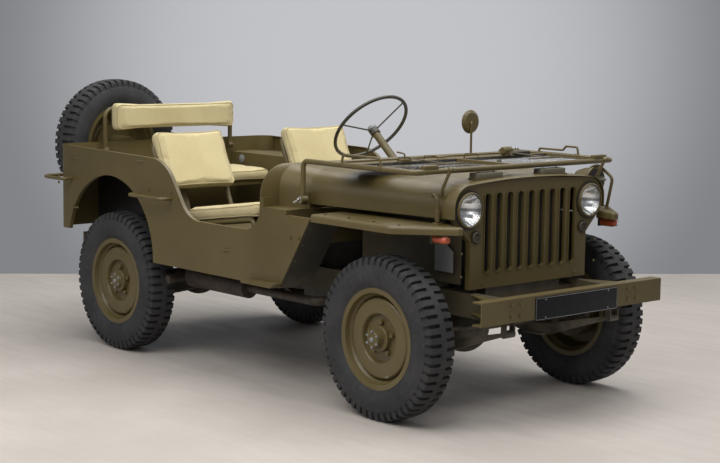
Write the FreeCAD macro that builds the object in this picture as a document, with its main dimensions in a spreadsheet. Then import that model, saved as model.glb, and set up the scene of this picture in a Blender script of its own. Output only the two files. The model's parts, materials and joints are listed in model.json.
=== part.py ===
import FreeCAD, Part
import math
import os

import Sketcher
from FreeCAD import Placement, Rotation, Vector

# Quarter-ton open 4x4 car with a folding windshield, as separate named sub-parts.
# Frame: millimetres, +X forward, +Y to the left, +Z up; the origin lies on the ground at
# the centre of the overall length and width. Stations are distances ahead of (or behind)
# the front axle; heights are above the ground.

doc = FreeCAD.newDocument("army_car")

SIZES = [
    # whole vehicle
    ("front_overhang", 534, "bumper face ahead of the front axle"),
    ("wheelbase", 2032, "between the axles"),
    ("track", 1245, "between the centre planes of the two wheels of an axle"),
    ("body_width", 1430, "outside of the side panels"),
    ("sheet", 2, "thickness of the body sheet"),
    ("edge_turn", 20, "depth of the turned edge of a body panel"),
    ("seat_gap", 0.3, "clearance where one body seats on another"),
    ("running_gap", 0.1, "radial clearance of a shaft or pin in its bore"),
    # tyres and wheels
    ("tyre_radius", 361, "out to the tread"),
    ("tyre_width", 160, "across the side walls"),
    ("tread_width", 136, "across the tread"),
    ("rim_radius", 223, "out to the rim flange"),
    ("bead_radius", 205, "inside of the tyre"),
    ("bead_width", 114, "across the beads"),
    ("rim_wall", 4, "thickness of the rim"),
    ("rim_width", 130, "across the rim flanges"),
    ("well_radius", 188, "outside of the rim well"),
    ("disc_radius", 174, "shoulder of the wheel disc"),
    ("disc_face", 44, "disc face outboard of the wheel's centre plane"),
    ("bowl_radius", 110, "mouth of the disc's bowl"),
    ("bowl_face", 20, "floor of the bowl outboard of the centre plane"),
    ("hub_radius", 58, "hub flange"),
    ("hub_face", 50, "hub flange outboard of the centre plane"),
    ("hub_nose_radius", 34, "hub cap"),
    ("front_nose_face", 84, "front hub cap outboard of the centre plane"),
    ("rear_nose_face", 66, "rear hub cap outboard of the centre plane"),
    ("nut_circle", 72, "radius of the wheel nuts' circle"),
    ("nut_radius", 11, "wheel nut"),
    ("nut_length", 15, "wheel nut"),
    ("drum_radius", 128, "brake drum"),
    ("drum_inner_face", 46, "drum's open face inboard of the centre plane"),
    ("spindle_radius", 30, "wheel spindle"),
    ("spindle_reach", 12, "spindle's end outboard of the centre plane"),
    ("plate_gap", 6, "between drum and backing plate"),
    ("backing_plate", 4, "thickness of the backing plate"),
    # axles, knuckles and steering rods
    ("axle_tube_radius", 34, "axle tube"),
    ("diff_offset", 150, "differential to the right of the centre line"),
    ("diff_radius", 118, "differential housing"),
    ("kingpin_offset", 104, "kingpin inboard of the wheel's centre plane"),
    ("ball_radius", 46, "axle ball"),
    ("casing_gap", 0.3, "between axle ball and knuckle casing"),
    ("casing_wall", 10, "thickness of the knuckle casing"),
    ("kingpin_radius", 20, "kingpin boss"),
    ("kingpin_height", 20, "kingpin boss above the casing"),
    ("steer_arm_reach", 150, "tie-rod pivot ahead of the kingpin"),
    ("steer_arm_height", 372, "top of the steering arm"),
    ("steer_arm_thick", 14, "steering arm"),
    ("steer_arm_width", 30, "steering arm"),
    ("rod_end_radius", 14, "tie-rod end"),
    ("rod_end_height", 34, "tie-rod end"),
    ("tie_rod_radius", 11, "tie rod"),
    ("wheel_tilt", 40.6, "steering column above the level, degrees"),
    ("steer_wheel_radius", 213, "centre line of the steering wheel's rim"),
    ("steer_rim_radius", 9, "rim of the steering wheel"),
    ("steer_hub_radius", 26, "hub of the steering wheel"),
    ("steer_hub_length", 34, "hub of the steering wheel"),
    ("spoke_radius", 4, "spoke of the steering wheel"),
    ("spoke_drop", 22, "hub behind the plane of the rim"),
    ("steer_wheel_back", 1214, "steering wheel's centre behind the front axle"),
    ("steer_wheel_height", 1180, "steering wheel's centre"),
    ("driver_offset", 360, "steering wheel to the left of the centre line"),
    ("column_radius", 20, "steering column jacket"),
    ("column_past", 13, "steering column's foot ahead of the cowl's front edge"),
    # springs
    ("spring_offset", 340, "springs' centre line off the car's centre line"),
    ("spring_width", 44, "leaf width"),
    ("spring_pack", 44, "height of the leaf pack at the axle"),
    ("main_leaf", 12, "height of the pack at its ends"),
    ("front_spring_reach", 455, "front spring eye to axle"),
    ("rear_spring_reach", 530, "rear spring eye to axle"),
    ("spring_eye_height", 412, "centre of the spring eyes"),
    ("spring_eye_radius", 17, "spring eye"),
    ("spring_plate", 10, "clamp plate under the spring"),
    # frame and bumpers
    ("rail_outside", 743, "outside of the frame rails"),
    ("rail_width", 46, "frame rail"),
    ("rail_bottom", 455, "underside of the frame rails"),
    ("rail_height", 105, "frame rail"),
    ("rail_wall", 3, "frame rail wall"),
    ("rail_back", 2545, "rear end of the rails behind the front axle"),
    ("cross_height", 60, "crossmember"),
    ("cross_width", 60, "crossmember"),
    ("bumperette_face", 95, "rear bumper plates behind the rails"),
    ("bumperette_thick", 15, "rear bumper plate"),
    ("bumperette_near", 290, "rear bumper plate's inner end off the centre line"),
    ("bumperette_far", 500, "rear bumper plate's outer end off the centre line"),
    ("bumperette_height", 75, "rear bumper plate"),
    ("bumperette_arm", 12, "arm that carries a rear bumper plate"),
    ("hook_reach", 105, "tow hook behind the rails"),
    ("hook_half", 16, "half the tow hook's width"),
    ("bumper_width", 1168, "front bumper"),
    ("bumper_bottom", 477, "underside of the front bumper"),
    ("bumper_height", 102, "front bumper"),
    ("bumper_depth", 55, "front bumper's channel"),
    ("bumper_wall", 6, "front bumper's channel"),
    ("gusset_reach", 66, "bumper gusset outside the rail"),
    ("gusset_length", 220, "bumper gusset along the rail"),
    ("plate_width", 430, "registration plate"),
    ("plate_height", 100, "registration plate"),
    ("plate_thick", 3, "registration plate"),
    ("plate_centre", 90, "registration plate to the left of the centre line"),
    ("plate_bottom", 470, "underside of the registration plate"),
    # tub
    ("tub_back", 2552, "rear panel behind the front axle"),
    ("tub_corner", 80, "plan radius of the rear corners"),
    ("tub_leg", 10, "straight side of the rear panel past its corner"),
    ("tub_top", 1048, "top edge of the tub at the rear"),
    ("tub_top_front", 1030, "top edge of the tub at the seat cut"),
    ("tub_bottom_rear", 600, "underside of the tub behind the wheel"),
    ("sill_height", 505, "underside of the sill"),
    ("arch_radius", 398, "wheel arch"),
    ("arch_height", 517, "centre of the wheel arch"),
    ("arch_shift", 10, "arch centre behind the rear axle"),
    ("cut_back", 1541, "rear of the seat cut behind the front axle"),
    ("cut_floor_back", 1344, "rear end of the seat cut's floor"),
    ("cut_floor", 750, "floor of the seat cut"),
    ("cut_front", 782, "front of the seat cut"),
    ("cut_back_round", 230, "rounding at the top rear of the seat cut"),
    ("cut_floor_round", 180, "rounding at the lower rear of the seat cut"),
    ("cut_front_round", 112, "rounding at the lower front of the seat cut"),
    ("toe_foot", 629, "foot of the slanted front edge"),
    ("toe_top", 413, "top of the slanted front edge"),
    ("toe_top_height", 846, "top of the slanted front edge"),
    ("floor_height", 562, "floor pan"),
    ("rear_floor_height", 620, "rear floor"),
    ("rear_floor_front", 1660, "step up to the rear floor"),
    ("toe_board_foot", 760, "foot of the toe board"),
    ("toe_board_top", 700, "top of the toe board above the ground"),
    ("wheel_house_top", 962, "lid of the wheel houses"),
    ("wheel_house_inside", 910, "between the wheel houses"),
    ("wheel_house_front", 1626, "foot of the wheel houses' front"),
    ("wheel_house_top_front", 1764, "top of the wheel houses' front"),
    ("step_front", 608, "foot step's front end"),
    ("step_length", 250, "foot step"),
    ("step_reach", 48, "foot step outside the body"),
    ("step_height", 530, "top of the foot step"),
    # cowl, hood, grille and fenders
    ("cowl_back", 776, "cowl's rear edge"),
    ("cowl_front", 584, "cowl's front edge"),
    ("cowl_height", 1062, "top of the cowl"),
    ("cowl_shoulder", 145, "radius of the cowl's shoulders"),
    ("cowl_leg", 3, "straight side of the cowl below its shoulder"),
    ("cowl_rim", 6, "straight rim at the cowl's rear edge"),
    ("cowl_flare", 20, "length in which the cowl narrows in front of its rim"),
    ("flare_wall", 9.5, "wall of the narrowing part, measured across the car"),
    ("neck_width", 1244, "cowl in front of its narrowing part"),
    ("neck_round", 110, "radius of the shoulders there"),
    ("ledge_height", 868, "ledge beside the cowl's front part"),
    ("dash_bottom", 880, "lower edge of the dash panel"),
    ("hood_back", 583.7, "hood's rear edge"),
    ("hood_front", 267, "hood's front edge ahead of the front axle"),
    ("hood_back_width", 1150, "hood's width at the rear"),
    ("hood_front_width", 970, "hood's width at the front"),
    ("hood_back_height", 1044, "hood's shoulder at the rear"),
    ("hood_front_height", 1034, "hood's shoulder at the front"),
    ("hood_crown", 18, "rise of the hood across its width"),
    ("hood_round", 95, "radius of the hood's shoulders"),
    ("hood_side_bottom", 890, "lower edge of the hood's side"),
    ("grille_face", 255, "grille panel ahead of the front axle"),
    ("grille_depth", 28, "turned edge of the grille panel"),
    ("grille_gap", 5, "grille panel inside the hood's shoulders"),
    ("grille_foot_width", 752, "grille panel at its lower edge"),
    ("grille_bottom", 578, "lower edge of the grille panel"),
    ("grille_step", 885, "where the grille panel starts to narrow"),
    ("grille_waist", 782, "where the grille panel has narrowed"),
    ("slot_pitch", 68.5, "between the grille slots"),
    ("slot_width", 39, "grille slot"),
    ("slot_bottom", 647, "lower end of the grille slots"),
    ("slot_top", 992, "upper end of the grille slots"),
    ("slot_lip", 7, "raised edge round a slot"),
    ("lamp_offset", 389, "headlamps off the centre line"),
    ("lamp_height", 925, "centre of the headlamps"),
    ("lamp_radius", 78, "headlamp rim"),
    ("lamp_depth", 70, "headlamp bowl behind the grille"),
    ("marker_offset", 347, "marker lamps off the centre line"),
    ("marker_drop", 120, "marker lamps below the headlamps"),
    ("marker_radius", 24, "marker lamp"),
    ("fender_height", 866, "top of the fenders"),
    ("fender_lip", 34, "depth of the fender's turned edge"),
    ("fender_back", 440, "rear end of the fender's level part"),
    ("fender_bend", 110, "where the fender starts to narrow"),
    ("fender_front", 327, "front edge of the fenders"),
    ("fender_tip", 519, "fender's front corner off the centre line"),
    ("apron_offset", 400, "inner apron off the centre line"),
    ("apron_bottom", 640, "lower edge of the inner apron"),
    # windshield, folded forward
    ("pivot_back", 555, "windshield pivot behind the front axle"),
    ("pivot_height", 915, "windshield pivot"),
    ("frame_half", 640, "centre line of the windshield frame's sides"),
    ("frame_height", 1092, "centre line of the folded frame"),
    ("frame_top_front", 178, "top bar ahead of the front axle"),
    ("frame_tube", 12, "radius of the frame tube"),
    ("frame_bend", 30, "bend of the frame tube"),
    ("glass_frame_bar", 26, "width of the glass frame's bars"),
    ("glass_frame_thick", 16, "thickness of the glass frame"),
    ("glass_thick", 5, "glass"),
    ("pivot_pin_radius", 9, "windshield pivot pin"),
    ("pivot_boss", 34, "length of the windshield's pivot boss"),
    ("pivot_boss_radius", 20, "windshield's pivot boss"),
    ("pivot_plate", 5, "bracket of the windshield pivot"),
    ("pivot_plate_high", 26, "bracket above and below the pivot"),
    ("pivot_plate_front", 16, "bracket in front of the pivot"),
    ("base_bar_radius", 10.5, "lower bar of the frame"),
    ("base_bar_front", 170, "lower bar of the frame in front of the pivot"),
    # seats
    ("seat_inner", 205, "inner side of the front seats off the centre line"),
    ("seat_width", 430, "front seats"),
    ("cushion_front", 905, "front of the front cushions"),
    ("cushion_length", 575, "front cushions"),
    ("cushion_front_height", 868, "top of a cushion at its front"),
    ("cushion_slope", 8, "front cushion's slope, degrees"),
    ("cushion_thick", 68, "front cushions"),
    ("back_foot", 1610, "foot of the front seat backs"),
    ("back_foot_height", 852, "foot of the front seat backs"),
    ("back_length", 312, "front seat backs"),
    ("back_thick", 66, "front seat backs"),
    ("back_lean", 25.5, "front seat backs' lean, degrees"),
    ("seat_tube", 12.5, "radius of the seat frames' tube"),
    ("seat_boss", 15, "pivot boss of the front seats' legs"),
    ("rear_pad_width", 810, "rear seat back"),
    ("rear_pad_back", 2510, "back of the rear seat back"),
    ("rear_post_offset", 428, "rear seat back's posts off the centre line"),
    ("rear_pivot_height", 1005, "pivot of the rear seat back"),
    ("rear_boss_radius", 16, "pivot boss of the rear seat back"),
    ("rear_pin_radius", 8, "pivot pin of the rear seat back"),
    ("rear_lug", 6, "lug that carries the rear seat back"),
    ("rear_pad_bottom", 1112, "underside of the rear seat back"),
    ("rear_pad_height", 152, "rear seat back"),
    ("rear_pad_thick", 66, "rear seat back"),
    ("rear_cushion_width", 840, "rear seat cushion"),
    ("rear_cushion_back", 2470, "back of the rear seat cushion"),
    ("rear_cushion_length", 350, "rear seat cushion"),
    ("rear_cushion_top", 893, "top of the rear seat cushion"),
    ("rear_cushion_thick", 62, "rear seat cushion"),
    # spare wheel, mirror, handles
    ("spare_reach", 161, "spare wheel's centre plane behind the rear panel"),
    ("spare_offset", 237, "spare wheel to the right of the centre line"),
    ("spare_height", 1024, "centre of the spare wheel"),
    ("carrier_radius", 46, "spare wheel carrier's post"),
    ("handle_tube", 9, "radius of the grab handles"),
    ("handle_reach", 63.5, "centre line of the grab handles outside the body"),
    ("side_handle_front", 1485, "side handle's front end"),
    ("side_handle_length", 290, "side handle"),
    ("side_handle_height", 842, "side handle"),
    ("corner_handle_height", 872, "corner handle"),
    ("corner_handle_front", 2400, "corner handle's end on the side"),
    ("mirror_radius", 61, "mirror"),
    ("mirror_back", 790, "mirror behind the front axle"),
    ("mirror_inset", 47, "mirror inside the body's left side"),
    ("mirror_height", 1220, "centre of the mirror"),
    # engine, gearbox, exhaust, tank
    ("engine_length", 540, "engine block"),
    ("engine_width", 300, "engine block"),
    ("engine_bottom", 492, "underside of the engine block"),
    ("engine_height", 400, "engine block"),
    ("engine_front", 60, "engine's front ahead of the front axle"),
    ("radiator_width", 480, "radiator"),
    ("radiator_height", 440, "radiator"),
    ("radiator_thick", 60, "radiator"),
    ("muffler_radius", 52, "muffler"),
    ("muffler_length", 470, "muffler"),
    ("muffler_front", 1100, "muffler's front end"),
    ("muffler_offset", 520, "muffler to the right of the centre line"),
    ("muffler_height", 428, "centre of the muffler"),
    ("pipe_radius", 22, "exhaust pipe"),
    ("pipe_run", 500, "straight pipe ahead of the muffler"),
    ("pipe_cross", 220, "pipe's first bend, inboard of the muffler"),
    ("pipe_rise", 162, "pipe's upper end above the muffler's centre line"),
    ("tail_reach", 125, "tail pipe outboard of the muffler's centre line"),
    ("shaft_radius", 25, "propeller shaft"),
    ("gearbox_half", 90, "half the gearbox's width"),
    ("gearbox_clear", 6, "gearbox below the floor pan"),
    ("transfer_front", 790, "transfer case's front behind the front axle"),
    ("transfer_length", 220, "transfer case"),
    ("transfer_overlap", 50, "gearbox short of the transfer case's rear end"),
    ("transfer_bottom", 360, "underside of the transfer case"),
    ("transfer_height", 110, "transfer case"),
    ("transfer_half", 100, "transfer case to the right of the propeller shafts"),
    ("diff_nose", 66, "propeller shaft's end clear of the differential housing"),
    ("tank_front", 1130, "fuel tank's front behind the front axle"),
    ("tank_length", 430, "fuel tank"),
    ("tank_inset", 42, "fuel tank inside the seat's sides"),
    ("tank_height", 144, "fuel tank"),
]

sheet = doc.addObject("Spreadsheet::Sheet", "Sizes")
for row, (alias, number, meaning) in enumerate(SIZES, start=1):
    sheet.set("A%d" % row, alias)
    sheet.set("B%d" % row, str(number))
    sheet.set("C%d" % row, meaning)
    sheet.setAlias("B%d" % row, alias)
doc.recompute()


def formula_of(value):
    """The spreadsheet formula of a size, or a plain number as text."""
    if isinstance(value, Size):
        return value.formula
    return "(%.9g)" % value


class Size:
    """A number that remembers the spreadsheet formula it comes from."""

    def __init__(self, number, formula):
        self.number = float(number)
        self.formula = formula

    def __float__(self):
        return self.number

    def __add__(self, other):
        return Size(self.number + float(other), "(%s + %s)" % (self.formula, formula_of(other)))

    def __radd__(self, other):
        return Size(float(other) + self.number, "(%s + %s)" % (formula_of(other), self.formula))

    def __sub__(self, other):
        return Size(self.number - float(other), "(%s - %s)" % (self.formula, formula_of(other)))

    def __rsub__(self, other):
        return Size(float(other) - self.number, "(%s - %s)" % (formula_of(other), self.formula))

    def __mul__(self, other):
        return Size(self.number * float(other), "(%s * %s)" % (self.formula, formula_of(other)))

    def __rmul__(self, other):
        return self * other

    def __truediv__(self, other):
        return Size(self.number / float(other), "(%s / %s)" % (self.formula, formula_of(other)))

    def __neg__(self):
        return Size(-self.number, "(0 - %s)" % self.formula)


class Sizes:
    """The named sizes of the spreadsheet as attributes."""


s = Sizes()
for alias, number, meaning in SIZES:
    setattr(s, alias, Size(getattr(sheet, alias), "Sizes." + alias))


def cosine(degrees):
    return Size(math.cos(math.radians(float(degrees))), "cos(%s * 1deg)" % formula_of(degrees))


def sine(degrees):
    return Size(math.sin(math.radians(float(degrees))), "sin(%s * 1deg)" % formula_of(degrees))


# ---------------------------------------------------------------- building blocks

def bind(obj, path, value):
    obj.setExpression(path, formula_of(value))


def place(obj, x, y, z, rotation=None):
    """Put an object's own origin at a bound place, turned by a rotation."""
    if rotation is not None:
        obj.Placement = Placement(Vector(0, 0, 0), rotation)
    for letter, value in zip("xyz", (x, y, z)):
        bind(obj, "Placement.Base." + letter, value)
    return obj


TURNS = {
    "X": Rotation(Vector(0, 0, 1), Vector(1, 0, 0)),
    "Y": Rotation(Vector(0, 0, 1), Vector(0, 1, 0)),
    "Z": Rotation(),
}


def block(x_range, y_range, z_range):
    """A box between two bound limits along each axis."""
    box = doc.addObject("Part::Box", "Block")
    ranges = (x_range, y_range, z_range)
    for side, (low, high) in zip(("Length", "Width", "Height"), ranges):
        bind(box, side, high - low)
    return place(box, x_range[0], y_range[0], z_range[0])


def rod(start, radius, length, axis="Z"):
    """A cylinder from its start point along an axis letter or a direction."""
    cylinder = doc.addObject("Part::Cylinder", "Rod")
    bind(cylinder, "Radius", radius)
    bind(cylinder, "Height", length)
    if axis in TURNS:
        return place(cylinder, *start, TURNS[axis])
    return place(cylinder, *start, Rotation(Vector(0, 0, 1), Vector(*axis)))


def ball(centre, radius):
    sphere = doc.addObject("Part::Sphere", "Ball")
    bind(sphere, "Radius", radius)
    return place(sphere, *centre)


def fuse(*parts):
    joined = doc.addObject("Part::MultiFuse", "Fused")
    joined.Shapes = list(parts)
    joined.Refine = True
    return joined


def cut(base, *tools):
    tool = tools[0] if len(tools) == 1 else fuse(*tools)
    result = doc.addObject("Part::Cut", "Cut")
    result.Base = base
    result.Tool = tool
    return result


def group(*parts):
    """Separate solids kept side by side in one sub-part."""
    result = doc.addObject("Part::Compound", "Group")
    result.Links = list(parts)
    return result


def mirrored(source):
    """The same piece on the other side of the car."""
    result = doc.addObject("Part::Mirroring", "Mirrored")
    result.Source = source
    result.Normal = Vector(0, 1, 0)
    return result


def turn_at(previous, corner, following, radius):
    """Tangent points and centre of an arc of a radius in a corner, and its turn."""
    to_previous = (previous - corner).normalize()
    to_following = (following - corner).normalize()
    half = to_previous.getAngle(to_following) / 2
    reach = radius / math.tan(half)
    towards = (to_previous + to_following).normalize()
    centre = corner + towards * (radius / math.sin(half))
    return corner + to_previous * reach, corner + to_following * reach, centre


def draw(sketch, corners):
    """Draw a closed outline of bound corners (u, v) or (u, v, rounding radius)."""
    points = [Vector(float(c[0]), float(c[1]), 0) for c in corners]
    count = len(corners)
    starts, ends, arcs = list(points), list(points), {}
    for i, corner in enumerate(corners):
        if len(corner) == 3:
            before, after = points[i - 1], points[(i + 1) % count]
            first, last, centre = turn_at(before, Vector(points[i]), after, float(corner[2]))
            ends[i], starts[i] = first, last
            arcs[i] = centre
    lines = []
    for i in range(count):
        segment = Part.LineSegment(starts[i], ends[(i + 1) % count])
        lines.append(sketch.addGeometry(segment, False))
    add = sketch.addConstraint
    for i, corner in enumerate(corners):
        before, after = lines[i - 1], lines[i]
        if i not in arcs:
            add(Sketcher.Constraint("Coincident", before, 2, after, 1))
            anchor = (after, 1)
        else:
            point = sketch.addGeometry(Part.Point(points[i]), True)
            centre, radius = arcs[i], float(corner[2])
            first, last = ends[i] - centre, starts[i] - centre
            clockwise = first.cross(last).z < 0
            if clockwise:
                first, last = last, first
            angles = [math.atan2(ray.y, ray.x) for ray in (first, last)]
            if angles[1] < angles[0]:
                angles[1] += 2 * math.pi
            circle = Part.Circle(centre, Vector(0, 0, 1), radius)
            arc = sketch.addGeometry(Part.ArcOfCircle(circle, *angles), False)
            near, far = (2, 1) if clockwise else (1, 2)
            add(Sketcher.Constraint("PointOnObject", point, 1, before))
            add(Sketcher.Constraint("PointOnObject", point, 1, after))
            add(Sketcher.Constraint("Tangent", before, 2, arc, near))
            add(Sketcher.Constraint("Tangent", arc, far, after, 1))
            number = add(Sketcher.Constraint("Radius", arc, radius))
            sketch.setExpression("Constraints[%d]" % number, formula_of(corner[2]))
            anchor = (point, 1)
        for kind, value in (("DistanceX", corner[0]), ("DistanceY", corner[1])):
            number = add(Sketcher.Constraint(kind, -1, 1, anchor[0], anchor[1], float(value)))
            if isinstance(value, Size):
                sketch.setExpression("Constraints[%d]" % number, value.formula)


PLANES = {"XY": "XY_Plane", "XZ": "XZ_Plane", "YZ": "YZ_Plane"}


def sketch_on(body, plane):
    sketch = body.newObject("Sketcher::SketchObject", "Outline")
    for feature in body.Origin.OriginFeatures:
        if feature.Role == PLANES[plane]:
            sketch.AttachmentSupport = (feature, [""])
    sketch.MapMode = "FlatFace"
    return sketch


def prism(plane, corners, low, high):
    """A body with an outline in a plane, padded between two bound limits across it."""
    body = doc.addObject("PartDesign::Body", "Prism")
    sketch = sketch_on(body, plane)
    draw(sketch, corners)
    # the normal of the XZ plane points to -Y
    offset = -high if plane == "XZ" else low
    bind(sketch, "AttachmentOffset.Base.z", offset)
    pad = body.newObject("PartDesign::Pad", "Pad")
    pad.Profile = sketch
    bind(pad, "Length", high - low)
    body.Tip = pad
    return body


def turned(corners, x, y, z, rotation=None):
    """A body turned about its own Y axis; corners are (radius, place along the axis)."""
    body = doc.addObject("PartDesign::Body", "Turned")
    sketch = sketch_on(body, "XY")
    draw(sketch, corners)
    spin = body.newObject("PartDesign::Revolution", "Spin")
    spin.Profile = sketch
    spin.ReferenceAxis = (sketch, ["V_Axis"])
    spin.Angle = 360
    body.Tip = spin
    return place(body, x, y, z, rotation)


def tube(points, radius, bends):
    """A round bar along straight runs joined by tangent bends."""
    route = [Vector(*[float(c) for c in point]) for point in points]
    edges, here = [], route[0]
    for i in range(1, len(route) - 1):
        bend = float(bends[i - 1] if isinstance(bends, (list, tuple)) else bends)
        first, last, centre = turn_at(route[i - 1], route[i], route[i + 1], bend)
        inward = (route[i] - centre).normalize()
        if (first - here).Length > 1e-6:
            edges.append(Part.makeLine(here, first))
        edges.append(Part.Arc(first, centre + inward * bend, last).toShape())
        here = last
    edges.append(Part.makeLine(here, route[-1]))
    start = edges[0].Vertexes[0].Point
    direction = (route[1] - route[0]).normalize()
    ring = Part.Wire([Part.makeCircle(float(radius), start, direction)])
    feature = doc.addObject("Part::Feature", "Tube")
    feature.Shape = Part.Wire(edges).makePipeShell([ring], True, False)
    return feature


def shape_feature(shape, name):
    feature = doc.addObject("Part::Feature", name)
    feature.Shape = shape
    return feature


def skin(source, open_towards):
    """Hollow a panel to the sheet's thickness, open on the side that faces a direction."""
    doc.recompute()
    faces = source.Shape.Faces
    order = [(face.CenterOfMass.dot(open_towards), face.Area) for face in faces]
    furthest = max(order)[0]
    chosen = max(range(len(faces)), key=lambda i: (order[i][0] > furthest - 0.01, faces[i].Area))
    shell = doc.addObject("Part::Thickness", "Skin")
    shell.Faces = (source, ["Face%d" % (chosen + 1)])
    bind(shell, "Value", -s.sheet)
    shell.Join = "Arc"
    return shell


NODES = []


def node(name, obj):
    obj.Label = name
    NODES.append((name, obj))
    return obj


# ---------------------------------------------------------------- stations

overall_length = s.plate_thick + s.front_overhang + s.tub_back + s.spare_reach + s.tyre_width / 2
front_face = overall_length / 2 - s.plate_thick
front_axle = front_face - s.front_overhang
rear_axle = front_axle - s.wheelbase


def ahead(distance):
    return front_axle + distance


def behind(distance):
    return front_axle - distance


half_body = s.body_width / 2
axle_height = s.tyre_radius
half_track = s.track / 2
rail_outer = s.rail_outside / 2
rail_inner = rail_outer - s.rail_width
rail_top = s.rail_bottom + s.rail_height
cowl_side_top = s.cowl_height - s.cowl_shoulder - s.cowl_leg
neck_x = behind(s.cowl_back) + s.cowl_rim + s.cowl_flare
side_back = behind(s.tub_back) + s.tub_corner + s.tub_leg
rear_post_x = behind(s.rear_pad_back) - s.seat_tube - s.seat_gap



grille_half = s.hood_front_width / 2 - s.sheet - s.grille_gap


def radiator_back():
    """Rear face of the radiator, which stands behind the grille panel's turned edge."""
    return ahead(s.grille_face) - s.grille_depth - 6 - s.radiator_thick


# ---------------------------------------------------------------- frame and bumpers


def build_frame():
    front_end = front_face - s.bumper_depth
    back_end = behind(s.rail_back)
    pieces = []
    for side in (1, -1):
        low, high = sorted((rail_inner * side, rail_outer * side), key=float)
        rail = block((back_end, front_end), (low, high), (s.rail_bottom, rail_top))
        hollow = block(
            (back_end - 1, front_end + 1),
            (low + s.rail_wall, high - s.rail_wall),
            (s.rail_bottom + s.rail_wall, rail_top - s.rail_wall),
        )
        pieces.append(cut(rail, hollow))
    middle = s.rail_bottom + s.rail_height / 2
    radiator_seat = radiator_back()
    stations = (front_end - s.cross_width, radiator_seat, behind(1120), rear_axle + 260, back_end)
    for station in stations:
        pieces.append(
            block(
                (station, station + s.cross_width),
                (-rail_inner, rail_inner),
                (middle - s.cross_height / 2, middle + s.cross_height / 2),
            )
        )
    node("chassis_frame", fuse(*pieces))


def build_front_bumper():
    back = front_face - s.bumper_depth
    half = s.bumper_width / 2
    top = s.bumper_bottom + s.bumper_height
    wall = s.bumper_wall
    channel = cut(
        block((back, front_face), (-half, half), (s.bumper_bottom, top)),
        block((back - 1, front_face - wall), (-half - 1, half + 1), (s.bumper_bottom + wall, top - wall)),
    )
    pieces = [channel]
    outer = rail_outer + s.gusset_reach
    for side in (1, -1):
        for end, low in ((back, s.bumper_bottom), (front_face - wall, rail_top - wall)):
            corners = [
                (end, rail_outer * side),
                (end, outer * side),
                (back - s.gusset_length / 3, outer * side, 60),
                (back - s.gusset_length, rail_outer * side),
            ]
            pieces.append(prism("XY", corners, low, low + wall))
    node("front_bumper", fuse(*pieces))
    node(
        "number_plate",
        block(
            (front_face, front_face + s.plate_thick),
            (s.plate_centre - s.plate_width / 2, s.plate_centre + s.plate_width / 2),
            (s.plate_bottom, s.plate_bottom + s.plate_height),
        ),
    )


# ---------------------------------------------------------------- wheels


def tyre(x, y, z, rotation=None):
    half_bead, half_width = s.bead_width / 2, s.tyre_width / 2
    half_tread, half_rim = s.tread_width / 2, s.rim_width / 2
    lip = s.rim_radius + 2
    side = []
    side.append((s.bead_radius, half_bead))
    side.append((lip, half_bead))
    side.append((lip + 4, half_rim + 3))
    side.append(((lip + s.tyre_radius) / 2 - 18, half_width, 30))
    side.append((s.tyre_radius - 22, half_tread + 6, 10))
    side.append((s.tyre_radius, half_tread, 8))
    other = [(corner[0], -corner[1]) + corner[2:] for corner in reversed(side)]
    return turned(side + other, x, y, z, rotation)


def wheel(x, y, z, side, rotation=None):
    """Rim and disc of one wheel; side is +1 where outboard is +Y."""
    wall, flange = s.rim_wall, s.rim_width / 2
    seat = s.bead_width / 2 + s.seat_gap
    inner = s.bead_radius - s.seat_gap
    well = s.well_radius
    half = [
        (s.rim_radius, flange - wall),
        (inner, seat),
        (inner - 6, seat - 16),
        (well, seat - 26),
    ]
    outside = half + [(r, -a) for r, a in reversed(half)]
    inside_half = [
        (s.rim_radius, flange),
        (inner - wall, flange - wall / 2),
        (inner - 6 - wall, seat - 16),
        (well - wall, seat - 28),
    ]
    inside = inside_half + [(r, -a) for r, a in reversed(inside_half)]
    rim = turned(outside + inside[::-1], x, y, z, rotation)
    face, floor = s.disc_face * side, s.bowl_face * side
    wall_out = wall * side
    bore = s.spindle_radius + s.running_gap
    disc = turned(
        [
            (well - 1, floor * 0.5),
            (s.disc_radius, face, 14),
            (s.bowl_radius, face + wall_out, 12),
            (s.bowl_radius - 8, floor + wall_out),
            (bore, floor + wall_out),
            (bore, floor),
            (s.bowl_radius - 4, floor),
            (s.bowl_radius + 4, face - wall_out, 8),
            (s.disc_radius - 4, face - wall_out, 10),
            (well - 6, floor * 0.5 - wall_out),
            (well - 1, floor * 0.5 - wall_out),
        ],
        x, y, z, rotation,
    )
    return [rim, disc]


def hub_and_drum(x, y, z, side, nose_face):
    """Hub with its cap and the brake drum, bored for the spindle."""
    floor, wall_out = s.bowl_face * side, s.rim_wall * side
    bore = s.spindle_radius + s.running_gap
    cap_end = s.spindle_reach + s.seat_gap
    nose = nose_face * side
    hub = turned(
        [
            (0, cap_end * side),
            (bore, cap_end * side),
            (bore, floor - 2 * wall_out),
            (s.hub_radius, floor - 2 * wall_out),
            (s.hub_radius, s.hub_face * side, 5),
            (s.hub_nose_radius + 6, s.hub_face * side),
            (s.hub_nose_radius, nose, 8),
            (0, nose),
        ],
        x, y, z,
    )
    open_face = -s.drum_inner_face * side
    drum = turned(
        [
            (bore, floor),
            (s.drum_radius - 30, floor),
            (s.drum_radius, floor - 18 * side, 8),
            (s.drum_radius, open_face),
            (s.drum_radius - 7, open_face),
            (s.drum_radius - 7, floor - 20 * side),
            (s.hub_radius, floor - 12 * side),
            (s.hub_radius - 12, open_face + 10 * side),
            (bore, open_face + 10 * side),
        ],
        x, y, z,
    )
    return [hub, drum]


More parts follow.
